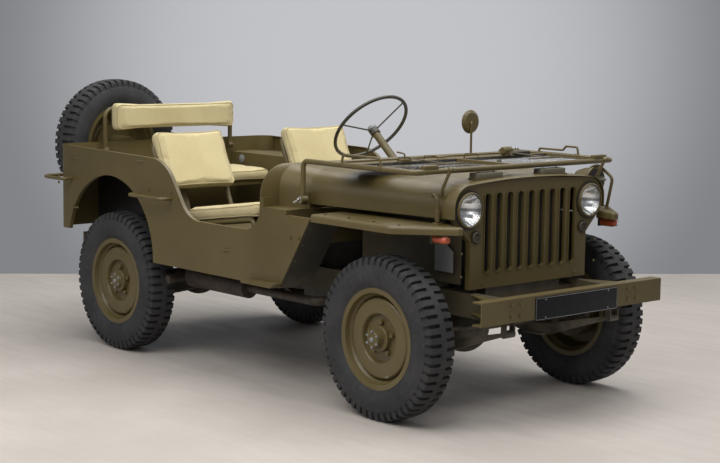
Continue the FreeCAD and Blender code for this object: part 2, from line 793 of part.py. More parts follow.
def wheel_nuts(x, y, z, side):
    nuts = []
    start = y + (s.bowl_face + s.rim_wall) * side
    low = start if side > 0 else start - s.nut_length
    for number in range(5):
        angle = math.radians(18 + 72 * number)
        nut_x = x + s.nut_circle * math.cos(angle)
        nut_z = z + s.nut_circle * math.sin(angle)
        nuts.append(rod((nut_x, low, nut_z), s.nut_radius, s.nut_length, "Y"))
    return nuts


WHEELS = [
    # name, axle, side, hub nose
    ("front_left", front_axle, 1, s.front_nose_face),
    ("front_right", front_axle, -1, s.front_nose_face),
    ("rear_left", rear_axle, 1, s.rear_nose_face),
    ("rear_right", rear_axle, -1, s.rear_nose_face),
]


def build_wheels():
    for name, x, side, nose_face in WHEELS:
        y = half_track * side
        node("tyre_" + name, tyre(x, y, axle_height))
        pieces = wheel(x, y, axle_height, side)
        pieces += hub_and_drum(x, y, axle_height, side, nose_face)
        pieces += wheel_nuts(x, y, axle_height, side)
        node("wheel_" + name, fuse(*pieces))


# ---------------------------------------------------------------- axles and steering

kingpin_y = half_track - s.kingpin_offset
plate_face = half_track - s.drum_inner_face - s.plate_gap
casing_radius = s.ball_radius + s.casing_gap + s.casing_wall


def spindle(x, side, start):
    """Backing plate and spindle that carry a wheel, from a start off the centre line."""
    end = half_track + s.spindle_reach
    low = start if side > 0 else -end
    low_plate = plate_face - s.backing_plate if side > 0 else -plate_face
    return [
        rod((x, low, axle_height), s.spindle_radius, end - start, "Y"),
        rod((x, low_plate, axle_height), s.drum_radius, s.backing_plate, "Y"),
    ]


def differential(x, ahead_side):
    centre = -s.diff_offset
    nose = rod(
        (x, centre, axle_height), s.diff_radius * 0.55, s.diff_radius + 60,
        (-ahead_side, 0, 0),
    )
    return [ball((x, centre, axle_height), s.diff_radius), nose]


def build_axles():
    tube_end = kingpin_y
    front = [rod((front_axle, -tube_end, axle_height), s.axle_tube_radius, tube_end * 2, "Y")]
    front += differential(front_axle, 1)
    for side in (1, -1):
        front.append(ball((front_axle, kingpin_y * side, axle_height), s.ball_radius))
    node("front_axle", fuse(*front))
    end = plate_face - s.backing_plate
    rear = [rod((rear_axle, -end, axle_height), s.axle_tube_radius, end * 2, "Y")]
    rear += differential(rear_axle, -1)
    for side in (1, -1):
        rear += spindle(rear_axle, side, end)
    node("rear_axle", fuse(*rear))


def build_knuckles():
    for name, side in (("left", 1), ("right", -1)):
        centre = (front_axle, kingpin_y * side, axle_height)
        shell = cut(
            ball(centre, casing_radius),
            ball(centre, s.ball_radius + s.casing_gap),
        )
        wide = casing_radius + 5
        inboard = sorted((kingpin_y * side + 7 * side, (kingpin_y - wide) * side), key=float)
        shell = cut(
            shell,
            block(
                (front_axle - wide, front_axle + wide),
                tuple(inboard),
                (axle_height - wide, axle_height + wide),
            ),
        )
        start = kingpin_y + s.ball_radius + s.casing_gap + 2
        pieces = [shell] + spindle(front_axle, side, start)
        arm_y = (kingpin_y + 25) * side
        half = s.steer_arm_width / 2
        arm_low = s.steer_arm_height - s.steer_arm_thick
        arm_start = front_axle + s.ball_radius + s.casing_gap + 2
        reach = front_axle + s.steer_arm_reach
        arm = prism(
            "XY",
            [
                (arm_start, arm_y + half),
                (arm_start, arm_y - half),
                (reach, kingpin_y * side - half),
                (reach, kingpin_y * side + half),
            ],
            arm_low, s.steer_arm_height,
        )
        pieces += [arm, rod((reach, kingpin_y * side, arm_low), half, s.steer_arm_thick)]
        for low in (axle_height + casing_radius - 6,
                    axle_height - casing_radius + 6 - s.kingpin_height):
            low_point = (front_axle, (kingpin_y + 14) * side, low)
            pieces.append(rod(low_point, s.kingpin_radius, s.kingpin_height))
        node("knuckle_" + name, fuse(*pieces))


def build_tie_rod():
    x = front_axle + s.steer_arm_reach
    low = s.steer_arm_height + s.seat_gap
    middle = low + s.rod_end_height / 2
    pieces = [rod((x, -kingpin_y, middle), s.tie_rod_radius, kingpin_y * 2, "Y")]
    for side in (1, -1):
        pieces.append(rod((x, kingpin_y * side, low), s.rod_end_radius, s.rod_end_height))
    node("tie_rod", fuse(*pieces))


def build_springs():
    """Leaf packs under the axles, with eyes, shackle plates and clamp plates."""
    top = axle_height - s.axle_tube_radius
    for_axles = (
        (front_axle, s.front_spring_reach),
        (rear_axle, s.rear_spring_reach),
    )
    packs = []
    for axle, reach in for_axles:
        for side in (1, -1):
            centre = s.spring_offset * side
            low, high = centre - s.spring_width / 2, centre + s.spring_width / 2
            eye = s.spring_eye_height
            flat = 60
            outline = [
                (axle - reach, eye + s.main_leaf / 2),
                (axle - flat, top, 500),
                (axle + flat, top, 500),
                (axle + reach, eye + s.main_leaf / 2),
                (axle + reach, eye - s.main_leaf / 2),
                (axle + flat + 40, top - s.spring_pack),
                (axle - flat - 40, top - s.spring_pack),
                (axle - reach, eye - s.main_leaf / 2),
            ]
            pieces = [prism("XZ", outline, low, high)]
            for end in (axle - reach, axle + reach):
                pieces.append(rod((end, low - 8, eye), s.spring_eye_radius, s.spring_width + 16, "Y"))
                for start in (low - 8, high):
                    pieces.append(
                        block((end - 14, end + 14), (start, start + 8), (eye, s.rail_bottom))
                    )
            pieces.append(
                block(
                    (axle - flat, axle + flat),
                    (low - 10, high + 10),
                    (top - s.spring_pack - s.spring_plate, top - s.spring_pack),
                )
            )
            packs.append(fuse(*pieces))
    node("leaf_springs", group(*packs))


def column_rod(radius):
    """A rod along the steering column's jacket."""
    tilt = s.wheel_tilt
    down = (math.cos(math.radians(float(tilt))), 0, -math.sin(math.radians(float(tilt))))
    x = behind(s.steer_wheel_back)
    start = s.spoke_drop + s.steer_hub_length + s.seat_gap
    begin = (x + start * cosine(tilt), s.driver_offset, s.steer_wheel_height - start * sine(tilt))
    reach = s.steer_wheel_back - s.cowl_front + s.column_past
    return rod(begin, radius, reach / cosine(tilt) - start, down)


def build_steering_column():
    tilt = s.wheel_tilt
    down = (math.cos(math.radians(float(tilt))), 0, -math.sin(math.radians(float(tilt))))
    x = behind(s.steer_wheel_back)
    hub_low = s.spoke_drop + s.steer_hub_length
    node("steering_column", column_rod(s.column_radius))
    up = Rotation(Vector(0, 1, 0), Vector(-down[0], 0, -down[2]))
    centre = (x, s.driver_offset, s.steer_wheel_height)
    ring = doc.addObject("Part::Torus", "Ring")
    bind(ring, "Radius1", s.steer_wheel_radius)
    bind(ring, "Radius2", s.steer_rim_radius)
    place(ring, *centre, Rotation(Vector(0, 0, 1), Vector(-down[0], 0, -down[2])))
    hub = turned(
        [
            (0, -hub_low),
            (s.steer_hub_radius, -hub_low),
            (s.steer_hub_radius, -s.spoke_drop, 6),
            (0, -s.spoke_drop),
        ],
        *centre, up,
    )
    pieces = [ring, hub]
    for angle in (90, 210, 330):
        pieces.append(spoke(centre, angle))
    node("steering_wheel", fuse(*pieces))


def spoke(centre, angle):
    """One spoke from the hub to the rim, in the wheel's tilted plane."""
    tilt = math.radians(float(s.wheel_tilt))
    normal = Vector(-math.cos(tilt), 0, math.sin(tilt))
    up = Vector(math.sin(tilt), 0, math.cos(tilt))
    across = Vector(0, 1, 0)
    turn = math.radians(angle)
    out = up * math.sin(turn) + across * math.cos(turn)
    middle = Vector(*[float(c) for c in centre])
    start = middle - normal * float(s.spoke_drop + 8) + out * (float(s.steer_hub_radius) - 6)
    end = middle + out * float(s.steer_wheel_radius)
    return tube([start, end], s.spoke_radius, 0)


# ---------------------------------------------------------------- engine and drive


def build_drive():
    x = ahead(s.engine_front)
    half = s.engine_width / 2
    top = s.engine_bottom + s.engine_height
    body = block((x - s.engine_length, x), (-half, half), (s.engine_bottom, top))
    feet = block((x - 170, x - 110), (-rail_inner, rail_inner), (s.engine_bottom + 8, s.engine_bottom + 36))
    node("engine_block", fuse(body, feet))
    transfer_back = behind(s.transfer_front) - s.transfer_length
    transfer_top = s.transfer_bottom + s.transfer_height
    shaft_height = s.transfer_bottom + s.transfer_height / 2
    gearbox = block(
        (transfer_back + s.transfer_overlap, x - s.engine_length),
        (-s.gearbox_half, s.gearbox_half + 20),
        (transfer_top, s.floor_height - s.gearbox_clear),
    )
    transfer = block(
        (transfer_back, behind(s.transfer_front)),
        (-s.diff_offset - s.transfer_half, s.gearbox_half - 30),
        (s.transfer_bottom, transfer_top),
    )
    offset = -s.diff_offset
    nose = s.diff_radius + s.diff_nose
    shafts = []
    for start, end in (
        (behind(s.transfer_front), front_axle - nose),
        (transfer_back, rear_axle + nose),
    ):
        shafts.append(tube([(start, offset, shaft_height), (end, offset, axle_height)], s.shaft_radius, 0))
    node("drive_line", fuse(gearbox, transfer, *shafts))
    core = radiator_back()
    half = s.radiator_width / 2
    bottom = s.rail_bottom + s.rail_height / 2 + s.cross_height / 2
    node(
        "radiator",
        block(
            (core, core + s.radiator_thick),
            (-half, half),
            (bottom, bottom + s.radiator_height),
        ),
    )
    y = -s.muffler_offset
    z = s.muffler_height
    front_end = behind(s.muffler_front)
    muffler = rod((front_end - s.muffler_length, y, z), s.muffler_radius, s.muffler_length, "X")
    pipe = tube(
        [
            (front_end - 5, y, z),
            (front_end + s.pipe_run, y, z),
            (front_end + s.pipe_run + 55, y + s.pipe_cross, z),
            (front_end + s.pipe_run + 120, y + s.pipe_cross + 95, z + 50),
            (front_end + s.pipe_run + 200, y + s.pipe_cross + 115, z + s.pipe_rise),
        ],
        s.pipe_radius, 45,
    )
    tail = tube(
        [
            (front_end - s.muffler_length + 5, y, z),
            (front_end - s.muffler_length - 44, y, z - 2),
            (front_end - s.muffler_length - 44, y - s.tail_reach, z - 12),
        ],
        s.pipe_radius, 30,
    )
    middle = front_end - s.muffler_length / 2
    hangers = []
    for station in (middle - 120, middle + 120):
        hangers.append(
            block(
                (station - 15, station + 15),
                (y + s.muffler_radius * 0.6, -rail_outer),
                (s.rail_bottom + 4, s.rail_bottom + 9),
            )
        )
    node("exhaust", fuse(muffler, pipe, tail, *hangers))
    tank = block(
        (behind(s.tank_front) - s.tank_length, behind(s.tank_front)),
        (s.seat_inner + s.tank_inset, s.seat_inner + s.seat_width - s.tank_inset),
        (s.floor_height, s.floor_height + s.tank_height),
    )
    node("fuel_tank", tank)


# ---------------------------------------------------------------- tub


def side_outline():
    return [
        (side_back, s.tub_top),
        (side_back, s.tub_bottom_rear),
        (rear_axle - s.arch_shift, s.tub_bottom_rear),
        (rear_axle - s.arch_shift, s.sill_height),
        (behind(s.toe_foot), s.sill_height),
        (behind(s.toe_top), s.toe_top_height),
        (behind(s.cowl_front), s.toe_top_height),
        (behind(s.cowl_front), s.ledge_height),
        (neck_x, s.ledge_height),
        (neck_x, cowl_side_top),
        (behind(s.cowl_back), cowl_side_top),
        (behind(s.cut_front), s.cut_floor, s.cut_front_round),
        (behind(s.cut_floor_back), s.cut_floor, s.cut_floor_round),
        (behind(s.cut_back), s.tub_top_front, s.cut_back_round),
    ]


def side_panel():
    """A side skin with its edges turned inward, open at the wheel arch."""
    inner = half_body - s.edge_turn
    body = prism("XZ", side_outline(), inner, half_body)
    hole = sketch_on(body, "XZ")
    circle = Part.Circle(Vector(float(rear_axle - s.arch_shift), float(s.arch_height), 0),
                         Vector(0, 0, 1), float(s.arch_radius))
    edge = hole.addGeometry(circle, False)
    number = hole.addConstraint(Sketcher.Constraint("Radius", edge, float(s.arch_radius)))
    hole.setExpression("Constraints[%d]" % number, s.arch_radius.formula)
    places = (("DistanceX", rear_axle - s.arch_shift), ("DistanceY", s.arch_height))
    for kind, value in places:
        number = hole.addConstraint(Sketcher.Constraint(kind, -1, 1, edge, 3, float(value)))
        hole.setExpression("Constraints[%d]" % number, value.formula)
    pocket = body.newObject("PartDesign::Pocket", "Arch")
    pocket.Profile = hole
    pocket.Type = "ThroughAll"
    pocket.Midplane = True
    body.Tip = pocket
    low = s.sill_height + s.sheet
    foot = behind(s.step_front)
    step = prism(
        "XZ",
        [
            (foot, s.step_height),
            (foot - s.step_length, s.step_height - 10),
            (foot - s.step_length, low),
            (foot - 30, low),
        ],
        half_body, half_body + s.step_reach,
    )
    return fuse(skin(body, Vector(0, -1, 0)), step)


def build_tub():
    left = side_panel()
    node("side_panels", group(left, mirrored(left)))
    back, corner = behind(s.tub_back), s.tub_corner
    outer = [
        (side_back, half_body),
        (back, half_body, corner),
        (back, -half_body, corner),
        (side_back, -half_body),
    ]
    inner = [
        (side_back, -half_body + s.sheet),
        (back + s.sheet, -half_body + s.sheet, corner - s.sheet),
        (back + s.sheet, half_body - s.sheet, corner - s.sheet),
        (side_back, half_body - s.sheet),
    ]
    panel = prism("XY", outer + inner, s.tub_bottom_rear, s.tub_top)
    lugs, holes = [], []
    for side in (1, -1):
        near = s.rear_post_offset + 14 + s.seat_gap
        low_y = near if side > 0 else -near - s.rear_lug
        z = s.rear_pivot_height
        lugs.append(
            block(
                (back + s.sheet / 2, rear_post_x + 16),
                (low_y, low_y + s.rear_lug),
                (z - 18, z + 18),
            )
        )
        bore = s.rear_pin_radius + s.running_gap
        holes.append(rod((rear_post_x, low_y - 1, z), bore, s.rear_lug + 2, "Y"))
    node("rear_panel", cut(fuse(panel, *lugs), *holes))
    inside = half_body - s.sheet
    deep = half_body - s.edge_turn
    low, high = s.floor_height, s.rear_floor_height
    front = behind(s.toe_board_foot)
    step = behind(s.rear_floor_front)
    firewall = behind(s.cowl_front)
    floor_profile = [
        (back + s.sheet, high),
        (step, high),
        (step, low),
        (front, low),
        (firewall - s.sheet, s.toe_board_top),
        (firewall - s.sheet, s.ledge_height - s.sheet),
        (firewall, s.ledge_height - s.sheet),
        (firewall, s.toe_board_top - s.sheet),
        (front + s.sheet, low - s.sheet),
        (step - s.sheet, low - s.sheet),
        (step - s.sheet, high - s.sheet),
        (back + s.sheet, high - s.sheet),
    ]
    narrow = s.wheel_house_inside / 2 - s.sheet
    plan = prism("XZ", floor_profile, -deep, deep)
    sides = []
    for side in (1, -1):
        y_range = tuple(sorted((narrow * side, (inside + 5) * side), key=float))
        sides.append(
            block((back, behind(s.wheel_house_front)), y_range, (low - 10, high + 10))
        )
    column = column_rod(s.column_radius + s.seat_gap)
    node("floor_pan", cut(plan, column, *sides))
    node("wheel_houses", group(wheel_house(1), wheel_house(-1)))


def wheel_house(side):
    back, foot, front = side_back, behind(s.wheel_house_front), behind(s.wheel_house_top_front)
    near, far = s.wheel_house_inside / 2, half_body - s.sheet
    if side > 0:
        outer, wall = (near, far), (near, near + s.sheet)
    else:
        outer, wall = (-far, -near), (-near - s.sheet, -near)
    top = s.wheel_house_top
    low = s.floor_height
    tail = behind(s.tub_back) + s.sheet
    wall_outline = [
        (tail, s.rear_floor_height),
        (foot, s.rear_floor_height),
        (front, top),
        (tail, top),
    ]
    slant = [
        (foot - s.sheet, low),
        (foot, low),
        (foot, s.rear_floor_height),
        (front, top),
        (front - s.sheet, top),
        (foot - s.sheet, s.rear_floor_height),
    ]
    corner = half_body - s.tub_corner
    if side > 0:
        beside_corner = (near, corner)
    else:
        beside_corner = (-corner, -near)
    return fuse(
        block((back + s.sheet, front), outer, (top - s.sheet, top)),
        block((tail, front), beside_corner, (top - s.sheet, top)),
        prism("XZ", wall_outline, *wall),
        prism("XZ", slant, *outer),
    )


def arch_outline(half, top, bottom, rounding, crown, x):
    """Edges of an inverted U at a station, from its left foot to its right foot."""
    shoulder = half - rounding
    reach = rounding * math.sqrt(0.5)
    left_foot, left_leg = Vector(x, half, bottom), Vector(x, half, top - rounding)
    left_mid = Vector(x, shoulder + reach, top - rounding + reach)
    left_top, right_top = Vector(x, shoulder, top), Vector(x, -shoulder, top)
    right_mid = Vector(x, -left_mid.y, left_mid.z)
    right_leg, right_foot = Vector(x, -half, top - rounding), Vector(x, -half, bottom)
    if crown:
        across = Part.Arc(left_top, Vector(x, 0, top + crown), right_top).toShape()
    else:
        across = Part.makeLine(left_top, right_top)
    return [
        Part.makeLine(left_foot, left_leg),
        Part.Arc(left_leg, left_mid, left_top).toShape(),
        across,
        Part.Arc(right_top, right_mid, right_leg).toShape(),
        Part.makeLine(right_leg, right_foot),
    ]


def arch_section(x, half, top, bottom, rounding, crown, wall):
    """An inverted U of sheet, as one closed wire of lines and arcs at a station."""
    x, half, top, bottom, rounding, crown, wall = [
        float(value) for value in (x, half, top, bottom, rounding, crown, wall)
    ]
    outer = arch_outline(half, top, bottom, rounding, crown, x)
    inner = arch_outline(half - wall, top - wall, bottom, rounding - wall, crown, x)
    feet = [
        Part.makeLine(Vector(x, side * half, bottom), Vector(x, side * (half - wall), bottom))
        for side in (1, -1)
    ]
    return Part.Wire(Part.__sortEdges__(outer + inner + feet))


def panel_loft(first, last, name):
    return shape_feature(Part.makeLoft([first, last], True, True), name)


def hood_back_section(x, bottom, wall):
    return arch_section(x, s.hood_back_width / 2, s.hood_back_height, bottom, s.hood_round,
                        s.hood_crown, wall)


def windshield_pivot(side):
    """Bracket and pin of the windshield on one side of the cowl."""
    near = s.frame_half - s.pivot_boss / 2 - s.seat_gap - s.pivot_plate
    inner = s.hood_back_width / 2 - s.sheet / 2
    end = near + s.pivot_plate + s.pivot_boss + 4
    front = behind(s.cowl_front)
    high = (s.pivot_height - s.pivot_plate_high, s.pivot_height + s.pivot_plate_high)
    if side > 0:
        plate, web, pin_y = (near, near + s.pivot_plate), (inner, near), near
    else:
        plate, web, pin_y = (-near - s.pivot_plate, -near), (-near, -inner), -end
    pin = (behind(s.pivot_back), pin_y, s.pivot_height)
    return fuse(
        block((front - s.pivot_plate, behind(s.pivot_back) + s.pivot_plate_front), plate, high),
        block((front - s.pivot_plate, front), web, high),
        rod(pin, s.pivot_pin_radius, end - near, "Y"),
    )


def build_cowl():
    back, front = behind(s.cowl_back), behind(s.cowl_front)
    top, side_top, round_off = s.cowl_height, cowl_side_top, s.cowl_shoulder
    wide, wall, rim = half_body, s.sheet, s.cowl_rim
    neck = s.neck_width / 2
    rear = arch_section(back, wide, top, side_top, round_off, 0, wall)
    rim_shape = panel_loft(rear, arch_section(back + rim, wide, top, side_top, round_off, 0, wall), "Rim")
    flare = panel_loft(
        arch_section(back + rim, wide, top, side_top, round_off, 0, s.flare_wall),
        arch_section(neck_x, neck, top, side_top, s.neck_round, 0, s.flare_wall),
        "Flare",
    )
    foot = s.ledge_height - wall / 2
    shell = panel_loft(
        arch_section(neck_x, neck, top, foot, s.neck_round, 0, wall),
        hood_back_section(front, foot, wall),
        "Shell",
    )
    dash = prism(
        "YZ",
        [
            (wide - wall, side_top),
            (wide - wall, top - wall, round_off - wall),
            (-wide + wall, top - wall, round_off - wall),
            (-wide + wall, side_top),
            (-wide + s.edge_turn + 2, side_top),
            (-wide + s.edge_turn + 2, s.dash_bottom, 30),
            (wide - s.edge_turn - 2, s.dash_bottom, 30),
            (wide - s.edge_turn - 2, side_top),
        ],
        back + 1, back + 1 + wall,
    )
    narrow = s.hood_back_width / 2 - wall
    fire_top = s.hood_back_height - wall
    fire = prism(
        "YZ",
        [
            (narrow, foot),
            (narrow, fire_top, s.hood_round - wall),
            (-narrow, fire_top, s.hood_round - wall),
            (-narrow, foot),
        ],
        front - wall, front,
    )
    deep = wide - s.edge_turn - s.seat_gap
    ledge_z = (s.ledge_height - wall, s.ledge_height)
    plates = []
    for side in (1, -1):
        def across(inner):
            return (inner, deep) if side > 0 else (-deep, -inner)

        plates += [
            block((neck_x, front), across(narrow - wall), ledge_z),
            block((neck_x - wall, neck_x), across(neck - wall), (ledge_z[0], side_top)),
            block((back + rim, neck_x), across(neck - s.flare_wall), (side_top - wall, side_top)),
            windshield_pivot(side),
        ]
    node("cowl", fuse(rim_shape, flare, shell, dash, fire, *plates))


# ---------------------------------------------------------------- front sheet metal


def build_hood():
    back = hood_back_section(behind(s.hood_back), s.hood_side_bottom, s.sheet)
    front = arch_section(ahead(s.hood_front), s.hood_front_width / 2, s.hood_front_height,
                         s.hood_side_bottom, s.hood_round, s.hood_crown, s.sheet)
    node("hood", panel_loft(back, front, "Hood"))


def build_grille():
    face, back = ahead(s.grille_face), ahead(s.grille_face) - s.grille_depth
    wide, foot = grille_half, s.grille_foot_width / 2
    top = s.hood_front_height - s.sheet - 1
    rounding = s.hood_round - s.sheet - s.grille_gap
    corner_drop = s.hood_crown * rounding / (wide - rounding)

    def outline(inset):
        corners = [
            (0, top - inset + s.hood_crown, 1500),
            (wide - inset, top - inset - corner_drop, rounding - inset),
            (wide - inset, s.grille_step),
            (foot - inset, s.grille_waist),
            (foot - inset, s.grille_bottom + inset),
        ]
        return corners + [(-c[0], c[1]) + c[2:] for c in reversed(corners[1:])]

    panel = prism("YZ", outline(0), back, face)
    hollow = prism("YZ", outline(s.sheet), back - 1, face - s.sheet)
    lips, slots = [], []
    half, lip = s.slot_width / 2, s.slot_lip
    for number in range(-4, 5):
        centre = s.slot_pitch * number

        def slot(grow):
            return [
                (centre - half - grow, s.slot_bottom - grow, half + grow - 1),
                (centre + half + grow, s.slot_bottom - grow, half + grow - 1),
                (centre + half + grow, s.slot_top + grow, half + grow - 1),
                (centre - half - grow, s.slot_top + grow, half + grow - 1),
            ]

        lips.append(prism("YZ", slot(lip / 2), face - 12, face + 5))
        slots.append(prism("YZ", slot(0), back - 2, face + 10))
    lamps = []
    for side in (1, -1):
        for y, z, radius in (
            (s.lamp_offset, s.lamp_height, s.lamp_radius - 8),
            (s.marker_offset, s.lamp_height - s.marker_drop, s.marker_radius - 4),
        ):
            lamps.append(rod((back - 5, y * side, z), radius, s.grille_depth + 20, "X"))
    plate = cut(panel, hollow)
    node("grille_panel", cut(fuse(plate, *lips), *(slots + lamps)))


def build_lamps():
    face = ahead(s.grille_face)
    heads, marks = [], []
    for side in (1, -1):
        y, z = s.lamp_offset * side, s.lamp_height
        bowl = turned(
            [
                (0, -s.lamp_depth),
                (s.lamp_radius * 0.55, -s.lamp_depth + 6, 20),
                (s.lamp_radius - 9, -8),
                (s.lamp_radius - 9, s.seat_gap),
                (s.lamp_radius, s.seat_gap),
                (s.lamp_radius, 10, 3),
                (s.lamp_radius - 8, 18, 3),
                (0, 22),
            ],
            face, y, z, Rotation(Vector(0, 1, 0), Vector(1, 0, 0)),
        )
        heads.append(bowl)
        marks.append(
            turned(
                [
                    (0, -20),
                    (s.marker_radius - 5, -20),
                    (s.marker_radius - 5, s.seat_gap),
                    (s.marker_radius, s.seat_gap),
                    (s.marker_radius, 8),
                    (s.marker_radius - 8, 14),
                    (0, 14),
                ],
                face, s.marker_offset * side, s.lamp_height - s.marker_drop,
                Rotation(Vector(0, 1, 0), Vector(1, 0, 0)),
            )
        )
    node("headlamps", group(*heads))
    node("marker_lamps", group(*marks))


def hood_half_at(x):
    """Half the hood's width at a station."""
    back, front = behind(s.hood_back), ahead(s.hood_front)
    share = (float(x) - float(back)) / (float(front) - float(back))
    wide, narrow = float(s.hood_back_width) / 2, float(s.hood_front_width) / 2
    return wide + (narrow - wide) * share


def build_fenders():
    back, bend, front = behind(s.fender_back), ahead(s.fender_bend), ahead(s.fender_front)
    inner_back = behind(s.toe_top)
    top = s.fender_height
    grille = ahead(s.grille_face)
    outline = [
        (behind(s.toe_top) + 2, half_body),
        (bend, half_body, 60),
        (front, s.fender_tip, 20),
        (front, grille_half + s.sheet + 6, 20),
        (grille + 8, grille_half + s.sheet + 6),
        (grille - s.grille_depth, grille_half + s.sheet),
        (grille - s.grille_depth, s.apron_offset),
        (behind(s.toe_top) + 2, s.apron_offset),
    ]
    body = prism("XY", outline, top - s.fender_lip, top)
    shell = skin(body, Vector(0, 0, -1))
    apron = block(
        (behind(s.toe_top) + 2, grille - s.grille_depth),
        (s.apron_offset, s.apron_offset + s.sheet),
        (s.apron_bottom, top - s.fender_lip),
    )
    slant = prism(
        "XZ",
        [
            (behind(s.toe_foot) + 2, s.sill_height),
            (behind(s.toe_top) + 2, s.toe_top_height - 14),
            (behind(s.toe_top) + 2 + s.sheet, s.toe_top_height - 14),
            (behind(s.toe_foot) + 2 + s.sheet, s.sill_height),
        ],
        s.apron_offset + 130, half_body,
    )
    left = fuse(shell, apron, slant)
    node("fenders", group(left, mirrored(left)))


# ---------------------------------------------------------------- windshield


def build_windshield():
    x, z = behind(s.pivot_back), s.pivot_height
    top, front = s.frame_height, ahead(s.frame_top_front)
    wide = s.frame_half
    bow = tube(
        [(x, wide, z), (x, wide, top), (front, wide, top), (front, -wide, top), (x, -wide, top), (x, -wide, z)],
        s.frame_tube, s.frame_bend,
    )
    base_x = x + s.base_bar_front
    base = rod((base_x, -wide, top), s.base_bar_radius, wide * 2, "Y")
    bar, thick = s.glass_frame_bar, s.glass_frame_thick
    low, high = top - thick / 2, top + thick / 2
    back_in = base_x + s.base_bar_radius
    front_in = front - s.frame_tube
    side_in = wide - s.frame_tube
    outer = block((back_in - 4, front_in + 4), (-side_in - 4, side_in + 4), (low, high))
    panes = []
    for low_y, high_y in ((-side_in + bar, -bar / 2), (bar / 2, side_in - bar)):
        panes.append(block((back_in + bar, front_in - bar), (low_y, high_y), (low - 1, high + 1)))
    rails = cut(outer, *panes)
    bosses, bores = [], []
    for side in (1, -1):
        low_y = wide * side - s.pivot_boss / 2
        bosses.append(rod((x, low_y, z), s.pivot_boss_radius, s.pivot_boss, "Y"))
        bores.append(
            rod((x, low_y - 10, z), s.pivot_pin_radius + s.running_gap, s.pivot_boss + 20, "Y")
        )
    node("windshield_frame", cut(fuse(bow, base, rails, *bosses), *bores))
    glass = []
    half = s.glass_thick / 2
    for low_y, high_y in ((-side_in + bar, -bar / 2), (bar / 2, side_in - bar)):
        glass.append(
            block((back_in + bar, front_in - bar), (low_y, high_y), (top - half, top + half))
        )
    node("windshield_glass", group(*glass))


# ---------------------------------------------------------------- seats


def front_seat(side):
    """Cushion, back and tube frame of one front seat."""
    inner = s.seat_inner
    low, high = (inner, inner + s.seat_width) if side > 0 else (-inner - s.seat_width, -inner)
    slope, lean = float(s.cushion_slope), float(s.back_lean)
    cushion = doc.addObject("Part::Box", "Cushion")
    bind(cushion, "Length", s.cushion_length)
    bind(cushion, "Width", s.seat_width)
    bind(cushion, "Height", s.cushion_thick)
    x = behind(s.cushion_front) - s.cushion_length * cosine(slope)
    z = s.cushion_front_height - s.cushion_length * sine(slope) - s.cushion_thick
    place(cushion, x, low, z, Rotation(Vector(0, 1, 0), -slope))
    back = doc.addObject("Part::Box", "Back")
    bind(back, "Length", s.back_thick)
    bind(back, "Width", s.seat_width)
    bind(back, "Height", s.back_length)
    foot_x = behind(s.back_foot) - s.back_thick * cosine(lean)
    place(back, foot_x, low, s.back_foot_height, Rotation(Vector(0, 1, 0), -lean))
    # the frame runs under the cushion and up behind the back
    off = float(s.seat_tube) + float(s.seat_gap)
    along = Vector(math.cos(math.radians(slope)), 0, math.sin(math.radians(slope)))
    under = Vector(float(x), 0, float(z)) + Vector(along.z, 0, -along.x) * off
    up = Vector(-math.sin(math.radians(lean)), 0, math.cos(math.radians(lean)))
    behind_back = Vector(float(foot_x), 0, float(s.back_foot_height)) - Vector(up.z, 0, -up.x) * off
    determinant = along.x * up.z - along.z * up.x
    gap = behind_back - under
    share = (gap.x * up.z - gap.z * up.x) / determinant
    corner = under + along * share
    top = behind_back + up * (float(s.back_length) - 25)
    front = under + along * (float(s.cushion_length) - 40)
    axle = float(s.floor_height + s.seat_gap + s.seat_boss)
    y_low, y_high = float(low) + 20, float(high) - 20
    half = [(front.x, axle), (front.x, front.z), (corner.x, corner.z), (top.x, top.z)]
    points = [(px, y_low, pz) for px, pz in half] + [(px, y_high, pz) for px, pz in reversed(half)]
    hoop = tube(points, s.seat_tube, [28, 60, 60, 60, 60, 28])
    pieces = [hoop]
    leg = under + along * 60
    for y in (y_low, y_high):
        foot = (leg.x, y, float(s.floor_height + s.seat_gap))
        pieces.append(tube([foot, (leg.x, y, leg.z)], s.seat_tube, 0))
        pieces.append(rod((front.x, y - 16, axle), s.seat_boss, 32, "Y"))
    return group(cushion, back), fuse(*pieces)


def build_front_seats():
    for name, side in (("driver", 1), ("passenger", -1)):
        pads, frame = front_seat(side)
        node(name + "_seat_pads", pads)
        node(name + "_seat_frame", frame)


def build_rear_seat():
    half = s.rear_pad_width / 2
    back = behind(s.rear_pad_back)
    node(
        "rear_seat_back",
        block(
            (back, back + s.rear_pad_thick),
            (-half, half),
            (s.rear_pad_bottom, s.rear_pad_bottom + s.rear_pad_height),
        ),
    )
    x = rear_post_x
    top = s.rear_pad_bottom + s.rear_pad_height - 36
    y = s.rear_post_offset
    low = s.rear_pivot_height
    hoop = tube([(x, -y, low), (x, -y, top), (x, y, top), (x, y, low)], s.seat_tube, 45)
    pieces = [hoop]
    for side in (1, -1):
        start = y - 14 if side > 0 else -y - 14
        pieces.append(rod((x, start, low), s.rear_boss_radius, 28, "Y"))
        pin_start = y if side > 0 else -y - 14 - s.seat_gap - s.rear_lug - 4
        length = 14 + s.seat_gap + s.rear_lug + 4
        pieces.append(rod((x, pin_start, low), s.rear_pin_radius, length, "Y"))
    node("rear_seat_frame", fuse(*pieces))
    half = s.rear_cushion_width / 2
    back = behind(s.rear_cushion_back)
    top = s.rear_cushion_top
    node(
        "rear_seat_cushion",
        block((back, back + s.rear_cushion_length), (-half, half), (top - s.rear_cushion_thick, top)),
    )
    side_y = s.wheel_house_inside / 2
    base = top - s.rear_cushion_thick - s.seat_gap
    rails = []
    for start in (back + 30, back + s.rear_cushion_length - 60):
        rails.append(block((start, start + 30), (-side_y, side_y), (base - 25, base)))
    node("rear_seat_rails", group(*rails))


# ---------------------------------------------------------------- spare wheel, handles, mirror


